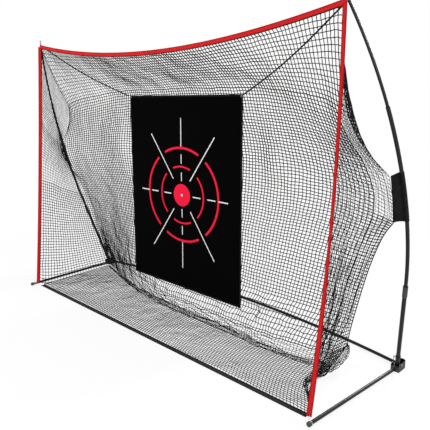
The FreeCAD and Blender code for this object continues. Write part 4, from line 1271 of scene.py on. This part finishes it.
ring_centre = BAR_FRONT - BAR_WAY * 0.0033
side_way = Vector((0, 0, 1)).cross(BAR_WAY).normalized()
up_way = BAR_WAY.cross(side_way).normalized()
for name, side in SIDES:
    toward = WEB_FOOT - ring_centre
    start_angle = math.atan2(toward.dot(up_way), toward.dot(side_way))
    turns = [start_angle + 0.5 + (math.tau - 1.0) * step / 20 for step in range(21)]
    ring_points = [ring_centre + side_way * (RING_REACH * math.cos(t))
                   + up_way * (RING_REACH * math.sin(t)) for t in turns]
    points = [WEB_FOOT] + ring_points + [WEB_FOOT + Vector((0.004, 0, 0.004))]
    tube = curve_mesh(route_curve("tube", [mirrored(p, side) for p in points], LOOP_RADIUS, 6, 3))
    band = add_piece("white_loop_" + name, tube, white_elastic)
    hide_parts("corner_loop_" + name)
    mirrored(WEB_FOOT, side)
    mirrored(ring_centre + Vector((-0.012, 0, 0.004)), side)
    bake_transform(band)
    print(band.name, "is ready")

# %% [markdown]
# ## Floor and light
# The floor and the world are plain white to the camera, but for a faint shadow under the
# net. To everything else the world is a pale, even light.

# %% White surroundings
SHADOW_REACH = 2.12
FAR_REACH = 3.74
NEAR_GLOW = 0.86


def floor_finish():
    """Near the object the floor keeps its shadow; farther out it fades to plain white."""
    finish = Finish("plain_white_floor")
    seen = finish.seen_by("Camera", "Glossy", "Transmission")
    diffuse = finish.node("ShaderNodeBsdfDiffuse", inputs={"Color": (0.9, 0.9, 0.9)})
    glow = finish.node("ShaderNodeEmission", inputs={"Color": (1.0, 1.0, 1.0), "Strength": 1.0})
    across, along = finish.parts(finish.place())[:2]
    far = finish.fit(across * across + along * along, SHADOW_REACH ** 2, FAR_REACH ** 2,
                     NEAR_GLOW, 1.0)
    mixed = finish.node("ShaderNodeMixShader", inputs=[seen * far, diffuse, glow])
    finish.node("ShaderNodeOutputMaterial", inputs=[mixed])
    return finish.material


shape = bmesh.new()
bmesh.ops.create_grid(shape, x_segments=1, y_segments=1, size=30)
floor = add_piece("floor", finish_bmesh("floor", shape, False), floor_finish())

WORLD_LIGHT = 0.55
world = bpy.data.worlds.new("studio")
bpy.context.scene.world = world
sky = Finish("studio", world)
seen = sky.seen_by("Camera", "Transmission", "Glossy")
light = sky.node("ShaderNodeBackground", inputs={
    "Color": (1.0, 1.0, 1.0), "Strength": sky.fit(seen, 0.0, 1.0, WORLD_LIGHT, 1.0)})
sky.node("ShaderNodeOutputWorld", inputs=[light])
print("the world gives", WORLD_LIGHT, "and looks white")


# %% [markdown]
# Three round area lamps light the net: the key from the front left, a fainter one from the
# right, and one from behind. They are large, so that their shadows are soft.

# %% Lamps
def lamp(name, place, aim, width, power):
    data = bpy.data.lights.new(name, "AREA")
    data.shape = "DISK"
    data.size = width
    data.energy = power
    item = bpy.data.objects.new(name, data)
    item.location = place
    item.rotation_euler = (Vector(aim) - Vector(place)).to_track_quat("-Z", "Y").to_euler()
    bpy.context.collection.objects.link(item)


lamp("key", (-1.5, -5.5, 4.6), (0, 0, 1.0), 3.0, 260)
lamp("fill", (5.0, -1.5, 3.2), (0, 0, 1.0), 2.5, 110)
lamp("rim", (1.0, 5.0, 3.8), (0.8, 0, 0.6), 1.3, 200)
print("lamps are set")
